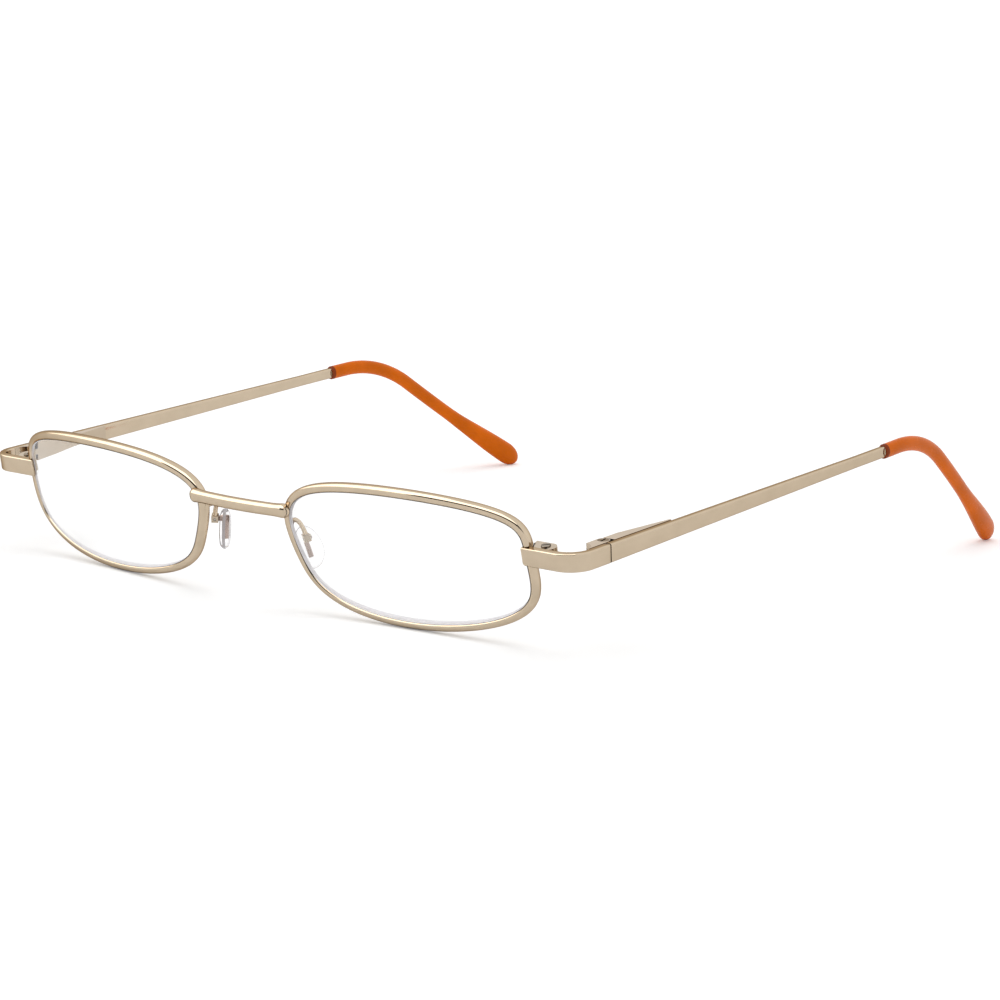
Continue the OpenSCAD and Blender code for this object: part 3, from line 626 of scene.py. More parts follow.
@dataclass
class Finishes:
    """All the finishes of the glasses, built once and shared by the pieces."""

    frame: Material = made(SatinMetal("champagne_satin", (0.66, 0.54, 0.4), (0.615, 0.502, 0.368)))
    brazed: Material = made(SatinMetal(
        "champagne_block", (0.62, 0.52, 0.41), (0.52, 0.43, 0.33), (0.16, 0.24), grazing=(0.95, 0.93, 0.9)
    ))
    screw: Material = made(SatinMetal("steel_screw", (0.56, 0.52, 0.46), (0.42, 0.39, 0.35), (0.12, 0.22)))
    insert: Material = made(SatinMetal("plated_insert", (0.58, 0.46, 0.41), (0.5, 0.4, 0.35), (0.25, 0.35)))
    # Only a faint painted shade in the hinge's corners
    hinge: Material = made(SatinMetal(
        "hinge_metal", (0.6, 0.49, 0.37), (0.55, 0.45, 0.335),
        corner_shade_tint=(0.7, 0.62, 0.52), grazing=(0.9, 0.86, 0.82),
    ))
    # Near-black brown on the seam's faces: painted shade in the gap between end piece and temple
    seam: Material = made(SatinMetal("seam_painted_shade", (0.1, 0.065, 0.04), (0.07, 0.045, 0.03), (0.4, 0.5)))
    lens: Material = made(ClearResin("lens_resin", (0.985, 0.988, 0.992), 0.0, 1.5, 0.0000002))
    # Lens's ground edge: its own pale frosted colour, with a faint painted glow
    ground: Material = made(GroundEdge("ground_edge", (0.88, 0.85, 0.86), (0.8, 0.775, 0.785), 0.0, 0.03))
    # Nose pad: clear silicone with painted shade along its outline
    pad: Material = made(ClearResin(
        "pad_silicone", (0.975, 0.97, 0.97), 0.05, 1.16, 0.000004, edge=(0.6, 0.56, 0.58)
    ))
    # Nose pad's thick rim: rough resin whose grey is painted shade along the outline, with a faint painted
    # glow
    pad_rim: Material = made(GroundEdge("pad_rim", (0.44, 0.415, 0.43), (0.38, 0.36, 0.37), 0.3, 0.04))
    tip: Material = made(OrangeSleeve("orange_sleeve", (0.74, 0.145, 0.002), (0.6, 0.118, 0.001)))
    # Dark red-brown in and round the sleeve's mouth: painted shade
    mouth: Material = made(OrangeSleeve("sleeve_mouth_painted_shade", (0.26, 0.05, 0.012), (0.2, 0.038, 0.01)))


# The front: shared sizes


@dataclass
class FrontPlan:
    """Sizes and axes that the pieces of the front share, in millimetres and degrees.

    The front's axes have their origin at the middle plane, level with the lenses' middles. They
    lean forward by `lean`, and `shift` moves them to the shared frame.

    Attributes:
        lens_w: width of the lens.
        lens_h: height of the lens.
        lens_gap: gap between the two lenses.
        lens_front_r: radius of the sphere that the lens's bevel follows.
        rim_w: width of the rim wire, square to its outline.
        rim_d: depth of the rim wire.
        rim_r: corner radius of the plain wire in the CAD part.
        bevel_h: height of the lens's bevel and depth of the rim's groove.
        bevel_w: width of the bevel.
        wrap: angle that each rim turns back towards its temple.
        lean: angle that the front leans by.
        lock_at: place of the rim's joint on its outline, in degrees.
        shift: step from the front's origin to the shared frame.
    """

    lens_w: float = 45.25
    lens_h: float = 22.3
    lens_gap: float = 20.6
    lens_front_r: float = 80.0
    rim_w: float = 1.45
    rim_d: float = 1.9
    rim_r: float = 0.5
    bevel_h: float = 0.45
    bevel_w: float = 0.84
    wrap: float = 6.06
    lean: float = 16.2
    lock_at: float = 8.3
    shift: np.ndarray = field(init=False)

    def __post_init__(self) -> None:
        """Works out the outline's scale, and sets the front down where the CAD rims stand."""
        self.wire_off = self.rim_w / 2 - self.bevel_h
        self.rim_x = self.lens_gap / 2 + self.lens_w / 2
        raw = self.raw_outline(np.arange(360.0))
        low, high = raw.min(axis=0), raw.max(axis=0)
        span = np.array([self.lens_w, self.lens_h]) + 2 * self.wire_off
        self.scale, self.middle = span / (high - low), (high + low) / 2
        wire = rounded_rectangle(self.rim_w, self.rim_d, self.rim_r, 3)
        rim = self.section(np.linspace(0, 360, 721), wire[:, 0], wire[:, 1])
        rim = self.lean_front(self.rim_to_front(rim))
        lowest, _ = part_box("left_rim")
        self.shift = np.array([0.0, lowest.y / MM - rim[..., 1].min(), lowest.z / MM - rim[..., 2].min()])

    @staticmethod
    def raw_outline(t: np.ndarray) -> np.ndarray:
        """Outline before scaling: an ellipse's cos t and sin t with small terms of 2 t, 3 t and 4 t.

        Args:
            t: turns in degrees.

        Returns:
            Array of (u, v), with u towards the temple and v upwards.
        """
        a = np.radians(t)
        u = np.cos(a) - 0.102 * np.cos(3 * a) - 0.005 * np.cos(2 * a) + 0.03 * np.sin(2 * a)
        u = u - 0.027 * np.sin(3 * a) - 0.003 * np.cos(4 * a)
        v = np.sin(a) - 0.019 * np.sin(3 * a) + 0.031 * np.cos(3 * a) + 0.006 * np.sin(4 * a)
        return np.stack([u, v], axis=-1)

    def outline(self, t: np.ndarray) -> np.ndarray:
        """Middle line of the rim wire: the raw outline scaled to the rim's box."""
        return self.scale * (self.raw_outline(t) - self.middle)

    def outward(self, t: np.ndarray) -> np.ndarray:
        """Unit vectors that point out of the outline: the tangent turned by a right angle."""
        along = unit(self.outline(t + 0.5) - self.outline(t - 0.5))
        return np.stack([along[..., 1], -along[..., 0]], axis=-1)

    def section(self, t: np.ndarray, a: np.ndarray, b: np.ndarray) -> np.ndarray:
        """Points of the wire's section, a outwards and b to the back, square to the lens's sphere.

        The back direction runs from the outline's point on the sphere to the sphere's centre, and
        the outer one is the outline's normal with its part along the back direction taken off.

        Args:
            t: turns in degrees, one for each ring.
            a: outward distances, one for each point of a ring.
            b: backward distances, one for each point of a ring.

        Returns:
            Array (turns, points, 3) in the rim's own axes.
        """
        t = np.atleast_1d(np.asarray(t, float))
        a, b = np.broadcast_arrays(np.atleast_1d(a), np.atleast_1d(b))
        p, o = self.outline(t), self.outward(t)
        w = sag(self.lens_front_r, np.linalg.norm(p, axis=-1))
        back = unit(np.stack([-p[:, 0], self.lens_front_r - w, -p[:, 1]], axis=-1))
        flat = np.stack([o[:, 0], np.zeros_like(w), o[:, 1]], axis=-1)
        outer = unit(flat - (flat * back).sum(-1, keepdims=True) * back)
        start = np.stack([p[:, 0], w, p[:, 1]], axis=-1)
        shape = a.shape if a.ndim > 1 else (1,) + a.shape
        a, b = a.reshape(shape)[..., None], b.reshape(shape)[..., None]
        return start[:, None] + a * outer[:, None] + b * back[:, None]

    def rim_to_front(self, points: np.ndarray) -> np.ndarray:
        """From a rim's axes to the front's: moved out by rim_x and turned back by the wrap."""
        return turn_z(points + self.rim_x * X_AXIS, self.wrap)

    def lean_front(self, points: np.ndarray) -> np.ndarray:
        """From the front's axes to upright ones, still about the front's origin."""
        return turn_x(points, self.lean)

    def place(self, points: np.ndarray) -> np.ndarray:
        """From the front's axes to the shared frame."""
        return self.lean_front(points) + self.shift

    def corner(self) -> np.ndarray:
        """The rim's joint, upright, about the front's origin."""
        return self.lean_front(self.rim_to_front(self.section(self.lock_at, 0.0, 0.0)))[0, 0]


@dataclass
class Rim:
    """A grooved metal wire that closes round its lens, with a hairline joint at the blocks.

    Attributes:
        plan: the shared sizes.
        outer_round: radii of the outer edges, across the wire and along its depth.
        lip_round: radii of the lips beside the lens, the same way.
        joint: gap at the joint.
        stations: rings round the rim.
    """

    plan: FrontPlan
    outer_round: tuple[float, float] = (0.66, 0.86)
    lip_round: tuple[float, float] = (0.44, 0.5)
    joint: float = 0.1
    stations: int = 360

    def profile(self) -> np.ndarray:
        """Section of the wire: elliptic quarters at the outer edges and the lips, and a V groove.

        Returns:
            Array of (a, b) points.
        """
        p = self.plan
        w, d = p.rim_w / 2, p.rim_d / 2
        outer = np.radians(np.linspace(0.0, 90.0, 12))
        lip = np.radians(np.linspace(90.0, 180.0, 8))
        (ra, rb), (la, lb) = self.outer_round, self.lip_round
        top = np.stack([w - ra + ra * np.cos(outer), d - rb + rb * np.sin(outer)], axis=-1)
        near = np.stack([-w + la + la * np.cos(lip), d - lb + lb * np.sin(lip)], axis=-1)
        groove = np.array([[-w, p.bevel_w / 2], [-w + p.bevel_h, 0.0], [-w, -p.bevel_w / 2]])
        return np.concatenate([top, near, groove, near[::-1] * [1, -1], top[::-1] * [1, -1]])

    def build(self, side: Side, finishes: Finishes) -> Piece:
        """Carries the profile round the outline, from one side of the joint to the other.

        Args:
            side: the side to make.
            finishes: the shared finishes.

        Returns:
            The rim.
        """
        p = self.plan
        arc = np.linalg.norm(p.outline(np.array(p.lock_at + 0.5)) - p.outline(np.array(p.lock_at - 0.5)))
        half = 0.5 * self.joint / arc
        turns = np.linspace(p.lock_at + half, p.lock_at + 360 - half, self.stations)
        flat = self.profile()
        rings = p.place(p.rim_to_front(p.section(turns, flat[:, 0], flat[:, 1])))
        piece = MESHES.skin(f"{side.word}_rim_wire", rings, side)
        dress(piece, finishes.frame, "front", f"{side.word}_rim")
        return piece


@dataclass
class Lens:
    """A clear lens with a domed front, a flatter back and a bevel in the rim's groove.

    Attributes:
        plan: the shared sizes.
        back_r: radius of the back face.
        middle: thickness at the middle.
        lip: how far the front face stands before the bevel.
        room: room between the lens and the rim.
        stations: points round the lens.
    """

    plan: FrontPlan
    back_r: float = 110.0
    middle: float = 2.3
    lip: float = 0.7
    room: float = 0.03
    stations: int = 240

    def front_y(self, q: np.ndarray) -> np.ndarray:
        """Front face: a sphere about the bevel's centre with the lip added to its radius."""
        return self.plan.lens_front_r - np.sqrt((self.plan.lens_front_r + self.lip) ** 2 - q * q)

    def back_y(self, q: np.ndarray) -> np.ndarray:
        """Back face: a flatter sphere, the middle thickness behind the front face."""
        return self.middle - self.lip + sag(self.back_r, q)

    def build(self, side: Side, finishes: Finishes) -> Piece:
        """Shrinks the edge's outline towards the middle for the faces, and adds the bevel's rings.

        Args:
            side: the side to make.
            finishes: the shared finishes.

        Returns:
            The lens.
        """
        p = self.plan
        turns = np.linspace(0.0, 360.0, self.stations, endpoint=False)
        edge, point = -p.wire_off - self.room - p.bevel_h, -p.wire_off - self.room
        base = p.section(turns, edge, 0.0)[:, 0]
        q = np.hypot(base[:, 0], base[:, 2])
        s = q / p.lens_front_r
        behind = (self.back_y(q) - base[:, 1]) / (np.sqrt(1 - s * s) + s * q / self.back_r)
        front_edge = p.section(turns, edge, -self.lip)[:, 0]
        back_edge = p.section(turns, np.full((self.stations, 1), edge), behind[:, None])[:, 0]
        shares = np.concatenate([[0.004], np.linspace(0.06, 1.0, 18)])
        faces = []
        for rim_line, depth in ((front_edge, self.front_y), (back_edge, self.back_y)):
            u, v = shares[:, None] * rim_line[:, 0], shares[:, None] * rim_line[:, 2]
            faces.append(np.stack([u, depth(np.hypot(u, v)), v], axis=-1))
        half = p.bevel_w / 2 - self.room
        bevel = p.section(turns, np.array([edge, point, edge]), np.array([-half, 0.0, half]))
        rings = np.concatenate([faces[0], bevel.transpose(1, 0, 2), faces[1][::-1]])
        piece = MESHES.skin(f"{side.word}_lens_body", p.place(p.rim_to_front(rings)), side, crease=20.0)
        dress(piece, finishes.lens, "front", f"{side.word}_lens")
        edge_bands = slice((len(shares) - 1) * self.stations, (len(shares) + 3) * self.stations)
        MESHES.second_finish(piece, finishes.ground, edge_bands)
        return piece


@dataclass
class Bridge:
    """One straight bar between the rims' nose sides, with soft brazed ends.

    Attributes:
        plan: the shared sizes.
        at: place on the rim's outline in degrees.
        height: height of the bar.
        depth: depth of the bar.
        ahead: how far its middle line lies before the wire's.
        over: how far its ends reach past the wire's middle line.
        bow: forward bow at the middle.
        swell: share by which its ends are thicker.
        swell_len: length of the thicker ends.
        edge: radius of its long edges, as a share of its lesser side.
    """

    plan: FrontPlan
    at: float = 150.0
    height: float = 2.1
    depth: float = 1.8
    ahead: float = 1.3
    over: float = 0.75
    bow: float = 0.5
    swell: float = 0.16
    swell_len: float = 3.0
    edge: float = 0.45

    def build(self, finishes: Finishes) -> Piece:
        """Carries a rounded rectangle along x, from one round end to the other.

        Its size grows by the swell near the ends and then shrinks on a circle.

        Args:
            finishes: the shared finishes.

        Returns:
            The bridge.
        """
        p = self.plan
        root = p.rim_to_front(p.section(self.at, 0.0, 0.0))[0, 0]
        end, cap = root[0] + self.over, self.height / 2
        angles = np.radians(np.linspace(3.0, 88.0, 12))
        tail = end - cap * (1 - np.cos(angles))
        xs = np.concatenate([-tail, np.linspace(-(end - cap), end - cap, 61), tail[::-1]])
        q = end - np.abs(xs)
        size = 1 + self.swell * (1 - ease(q / self.swell_len))
        size = size * np.sqrt(1 - np.clip(1 - q / cap, 0, 1) ** 2)
        flat = rounded_rectangle(self.depth, self.height, self.edge * min(self.depth, self.height), 8)
        middle = 1 - (xs / end) ** 2
        y = root[1] - self.ahead - self.bow * middle[:, None] - size[:, None] * flat[None, :, 0]
        z = root[2] + size[:, None] * flat[None, :, 1]
        rings = np.stack([np.broadcast_to(xs[:, None], y.shape), y, z], axis=-1)
        piece = MESHES.skin("bridge_bar", p.place(rings), Side.LEFT)
        dress(piece, finishes.frame, "front", "bridge")
        return piece


# The sides: end pieces, temples and tips


@dataclass
class SidePlan:
    """Sizes and axes that the end piece, the temple and the tip share.

    The side's axes have x outwards, y back along the temple and z up. They turn inwards by `toe`
    and rise by `rise`, and start where the rim's joint and the bend put them.

    Attributes:
        front: the front's sizes.
        strip_h: height of the end strip.
        strip_t: thickness of the end strip.
        strip_up: how far its middle line lies above the rim's joint.
        face_ahead: how far its front face stands before the rim's joint.
        face_over: how far it reaches past the rim's joint, towards the nose.
        side_out: distance from the rim's joint out to the side's outer face.
        turn_r: outer radius of the bend.
        seam_back: distance from the front face back to the seam.
        rise: angle that the side's axes rise by.
        toe: angle that they turn inwards by.
        bar_h: height of the temple bar at its narrow end.
        bar_t: thickness of the bar at that end.
        bar_taper: length over which the bar narrows.
        bar_len: distance from the seam to the tip's mouth.
        seam_gap: gap of the seam.
    """

    front: FrontPlan
    strip_h: float = 3.05
    strip_t: float = 1.2
    strip_up: float = 0.15
    face_ahead: float = 1.43
    face_over: float = 0.65
    side_out: float = 10.0
    turn_r: float = 4.2
    seam_back: float = 8.7
    rise: float = 5.14
    toe: float = 0.55
    bar_h: float = 1.95
    bar_t: float = 1.0
    bar_taper: float = 70.0
    bar_len: float = 79.05
    seam_gap: float = 0.14

    def __post_init__(self) -> None:
        """Works out the side's origin from the end of the bend."""
        self.face_y = -self.face_ahead
        self.seam_y = self.face_y + self.seam_back
        self.bend_x = self.side_out - self.turn_r
        self.bend_y = self.face_y + self.turn_r
        self.bend_r = self.turn_r - self.strip_t / 2
        self.temple_y = self.seam_y + self.seam_gap
        self.mouth_y = self.seam_y + self.bar_len
        self.core_x = self.side_out - self.bar_t / 2
        self.along = self.turn(Y_AXIS)
        self.up = self.turn(Z_AXIS)
        step = np.array([self.bend_x, self.face_y + self.strip_t / 2, self.strip_up])
        self.bend_start = self.front.corner() + turn_x(step, self.front.lean)
        reach = self.turn(np.array([self.side_out - self.strip_t / 2, self.bend_y, 0.0]))
        self.origin = self.bend(90.0) - reach

    def turn(self, points: np.ndarray) -> np.ndarray:
        """Turns the side's axes upright: the toe about z, then the rise about x."""
        return turn_x(turn_z(points, self.toe), self.rise)

    def bend(self, angle: float) -> np.ndarray:
        """Middle line of the bend: its start plus r sin a outwards and r (1 - cos a) backwards."""
        a = math.radians(angle)
        return self.bend_start + self.bend_r * (math.sin(a) * X_AXIS + (1 - math.cos(a)) * self.along)

    def place(self, points: np.ndarray) -> np.ndarray:
        """From the side's axes to the shared frame."""
        return self.turn(points) + self.origin + self.front.shift


@dataclass
class EndPiece:
    """A flat strip from the rim round a bend to the seam with the temple.

    Attributes:
        plan: the shared sizes.
        edge_r: radius of the long edges.
        corner_r: radius of the lower front corner.
        seam_edge: size of the broken edge at the seam.
    """

    plan: SidePlan
    edge_r: float = 0.25
    corner_r: float = 0.35
    seam_edge: float = 0.14

    def ring(self, centre: np.ndarray, out: np.ndarray, up: np.ndarray, cut: float) -> np.ndarray:
        """One section: a rounded rectangle with its thickness along out and its height along up.

        Args:
            centre: the middle line's point.
            out: unit vector across the strip.
            up: unit vector along its height.
            cut: what the front corner takes off below.

        Returns:
            Array (points, 3).
        """
        flat = rounded_rectangle(self.plan.strip_t, self.plan.strip_h - cut, self.edge_r, 6)
        return centre + flat[:, :1] * out + (flat[:, 1:] + cut / 2) * up

    def build(self, side: Side, finishes: Finishes) -> Piece:
        """Carries the section along the front, round the bend and back to the seam.

        The front corner takes r minus the root of r squared less (r - q) squared off the height at
        a distance q from the end. Round the bend the up direction turns from the front's lean to
        the side's rise.

        Args:
            side: the side to make.
            finishes: the shared finishes.

        Returns:
            The end piece.
        """
        p = self.plan
        lean_out = turn_x(-Y_AXIS, p.front.lean)
        lean_up = turn_x(Z_AXIS, p.front.lean)
        length, r = p.bend_x + p.face_over, self.corner_r
        corner = r * (1 - np.cos(np.radians(np.linspace(0, 90, 10))))
        qs = np.concatenate([corner, np.linspace(r, length, 8)[1:-1]])
        cuts = np.where(qs < r, r - np.sqrt(np.maximum(r * r - (r - qs) ** 2, 0)), 0.0)
        starts = p.bend_start + (qs - length)[:, None] * X_AXIS
        rings = [self.ring(start, lean_out, lean_up, cut) for start, cut in zip(starts, cuts)]
        for angle in np.linspace(0.0, 90.0, 31):
            a = math.radians(angle)
            f = math.cos(a) * X_AXIS + math.sin(a) * p.along
            mix = (1 - angle / 90) * lean_up + angle / 90 * p.up
            up = unit(mix - (mix @ f) * f)
            rings.append(self.ring(p.bend(angle), np.cross(f, up), up, 0.0))
        out = p.turn(X_AXIS)
        straight = p.seam_y - p.bend_y
        for back in (0.75, 0.5, 0.25, self.seam_edge / straight):
            rings.append(self.ring(p.bend(90.0) + (1 - back) * straight * p.along, out, p.up, 0.0))
        end = p.bend(90.0) + straight * p.along
        rings.append(end + (1 - self.seam_edge / p.strip_h) * (self.ring(end, out, p.up, 0.0) - end))
        piece = MESHES.skin(f"{side.word}_end_strip", np.array(rings) + p.front.shift, side)
        dress(piece, finishes.frame, "front", f"{side.word}_end_piece")
        # The seam's last band and end face get the painted shade of the gap
        count = len(rings[-1])
        last_band = slice((len(rings) - 2) * count, (len(rings) - 1) * count)
        MESHES.second_finish(piece, finishes.seam, last_band, slice(-1, None))
        return piece


@dataclass
class Temple:
    """The temple's flat bar with the core wire that runs on inside its tip, and the tip's sleeve.

    Attributes:
        plan: the shared sizes.
        start: length of the tip's straight start.
        ear_r: radius of the bend over the ear.
        ear_turn: angle of that bend.
        drop: length of the straight behind it.
        back_r: radius of the slight bend back.
        back_turn: angle of that bend.
        inward_r: radius of the inward curve, seen from above.
        mouth: height and thickness at the mouth.
        foot: height and thickness of the foot.
        foot_round: length of the foot's round end.
        foot_grow: length over which the tip grows to its foot.
        core_d: diameter of the core wire.
        core_len: length of the core wire.
        core_room: how much wider the sleeve's bore is than the core wire.
        core_end: room behind the core wire's end.
        core_turn: angle of its first point, in radians, which sets it against the bar's corner.
        shoulder: length of the step from the flat bar to the core wire.
        edge_r: radius of the bar's long edges.
        lip_len: length of the round edge at the mouth.
        lip_drop: how much that edge takes off the square of the mouth's size.
        mouth_rings: how many bands inside and outside the mouth lie in its shade.
    """

    plan: SidePlan
    start: float = 4.9
    ear_r: float = 26.5
    ear_turn: float = 37.8
    drop: float = 16.3
    back_r: float = 70.0
    back_turn: float = 1.0
    inward_r: float = 172.0
    mouth: tuple[float, float] = (2.6, 2.1)
    foot: tuple[float, float] = (4.3, 2.9)
    foot_round: float = 3.4
    foot_grow: float = 22.0
    core_d: float = 1.4
    core_len: float = 34.0
    core_room: float = 0.12
    core_end: float = 0.06
    core_turn: float = 0.1
    shoulder: float = 0.03
    edge_r: float = 0.3
    lip_len: float = 0.35
    lip_drop: float = 0.45
    mouth_rings: tuple[int, int] = (12, 4)

    def __post_init__(self) -> None:
        """Works out the path's lengths, and the last straight that brings the foot to the floor."""
        p = self.plan
        ear_len = self.ear_r * math.radians(self.ear_turn)
        back_len = self.back_r * math.radians(self.back_turn)
        self.bends = np.cumsum([self.start, ear_len, self.drop, back_len])
        last = math.radians(self.ear_turn - self.back_turn)
        along = p.turn(np.array([0.0, math.cos(last), -math.sin(last)]))
        up = p.turn(np.array([0.0, math.sin(last), math.cos(last)]))
        below = math.hypot(self.foot_round * along[2], self.foot[0] / 2 * up[2])
        y, z = self.side_view(np.array([self.bends[3]]))[0]
        height = p.place(np.array([0.0, y, z]))[2]
        self.foot_from = self.bends[3] + (height - below) / -along[2]
        self.length = self.foot_from + self.foot_round

    def side_view(self, d: np.ndarray) -> np.ndarray:
        """Middle line seen from the side: the sum of each stretch's own steps.

        Along a straight the direction is kept; along a bend the angle falls in proportion to the
        length, so y and z are the sums of small steps along cos and minus sin of the angle.

        Args:
            d: lengths from the mouth.

        Returns:
            Array of (y, z) in the side's axes.
        """
        fine = np.linspace(0.0, 80.0, 16001)
        b = self.bends
        angles = [0.0, 0.0, self.ear_turn, self.ear_turn, self.ear_turn - self.back_turn]
        angle = np.interp(fine, [0.0, *b], angles)
        middle = np.radians((angle[1:] + angle[:-1]) / 2)
        step = fine[1] - fine[0]
        y = np.concatenate([[0.0], np.cumsum(step * np.cos(middle))])
        z = np.concatenate([[0.0], np.cumsum(-step * np.sin(middle))])
        ahead = np.interp(d, fine, y) + np.minimum(d, 0.0) + self.plan.mouth_y
        return np.stack([ahead, np.interp(d, fine, z)], axis=-1)

    def line(self, d: np.ndarray) -> np.ndarray:
        """Middle line in the side's axes, which drifts inwards by run squared over twice inward_r."""
        side = self.side_view(d)
        run = np.maximum(side[..., 0] - self.plan.mouth_y, 0.0)
        x = self.plan.core_x - run * run / (2 * self.inward_r)
        return np.stack([x, side[..., 0], side[..., 1]], axis=-1)

    def tube(self, d: np.ndarray, section: np.ndarray) -> np.ndarray:
        """Carries a section round the middle line.

        Args:
            d: lengths from the mouth.
            section: array (points, 2), or (rings, points, 2) where it changes.

        Returns:
            Array (rings, points, 3) in the shared frame.
        """
        return self.plan.place(carry(self.line(d), self.line(d + 0.05) - self.line(d - 0.05), section))

    def sleeve_section(self, d: np.ndarray) -> np.ndarray:
        """Ellipses of the sleeve: the mouth's size grows smoothly to the foot's, then a round end.

        Args:
            d: lengths from the mouth.

        Returns:
            Array (rings, points, 2).
        """
        share = ease((d - (self.length - self.foot_grow)) / (self.foot_grow - self.foot_round))
        height = self.mouth[0] + (self.foot[0] - self.mouth[0]) * share
        thick = self.mouth[1] + (self.foot[1] - self.mouth[1]) * share
        end = np.sqrt(np.clip(1 - (np.clip(d - self.foot_from, 0, None) / self.foot_round) ** 2, 1e-5, 1))
        lip = np.sqrt(1 - (np.clip(self.lip_len - d, 0, None) / self.lip_len) ** 2 * self.lip_drop)
        size = (end * lip)[:, None, None]
        return ellipse(1.0, 1.0, 48)[None] * np.stack([thick, height], axis=-1)[:, None] * size

    def build_bar(self, side: Side, finishes: Finishes) -> Piece:
        """The bar: rounded rectangles along the side, then the core wire's rings inside the sleeve.

        Args:
            side: the side to make.
            finishes: the shared finishes.

        Returns:
            The bar with its core wire.
        """
        p = self.plan
        ys = np.linspace(p.temple_y, p.mouth_y - self.shoulder, 60)
        share = np.clip((ys - p.temple_y) / p.bar_taper, 0, 1)
        h, w = p.strip_h + (p.bar_h - p.strip_h) * share, p.strip_t + (p.bar_t - p.strip_t) * share
        flats = np.array([rounded_rectangle(a, b, self.edge_r, 6) for a, b in zip(w, h)])
        x = (p.side_out - w / 2)[:, None] + flats[..., 0]
        bar = p.place(np.stack([x, np.broadcast_to(ys[:, None], x.shape), flats[..., 1]], axis=-1))
        wire = ellipse(self.core_d, self.core_d, flats.shape[1], self.core_turn)
        core = self.tube(np.linspace(0.0, self.core_len, 60), wire)
        piece = MESHES.skin(f"{side.word}_temple_bar", np.concatenate([bar, core]), side)
        dress(piece, finishes.frame, f"temple_{side.word}", f"{side.word}_temple")
        # The bar's front end face gets the painted shade of the seam's gap
        MESHES.second_finish(piece, finishes.seam, slice(-2, -1))
        return piece

    def build_sleeve(self, side: Side, finishes: Finishes) -> Piece:
        """The sleeve: its bore from inside out to the mouth, then its outside down to the foot's end.

        Args:
            side: the side to make.
            finishes: the shared finishes.

        Returns:
            The tip.
        """
        bore = ellipse(self.core_d + self.core_room, self.core_d + self.core_room, 48)
        inner = self.tube(np.linspace(self.core_len + self.core_end, 0.0, 50), bore)
        ends = self.foot_from + self.foot_round * np.sin(np.radians(np.linspace(6.0, 89.5, 16)))
        d = np.concatenate([[0.0, 0.08, 0.18, self.lip_len], np.linspace(0.8, self.foot_from, 90), ends])
        rings = np.concatenate([inner, self.tube(d, self.sleeve_section(d))])
        piece = MESHES.skin(f"{side.word}_tip_sleeve", rings, side)
        dress(piece, finishes.tip, f"temple_{side.word}", f"{side.word}_tip")
        # Bands in and round the mouth get its painted shade
        inside, outside = self.mouth_rings
        shade = slice((len(inner) - inside) * len(bore), (len(inner) + outside) * len(bore))
        MESHES.second_finish(piece, finishes.mouth, shade)
        return piece


# The nose pads


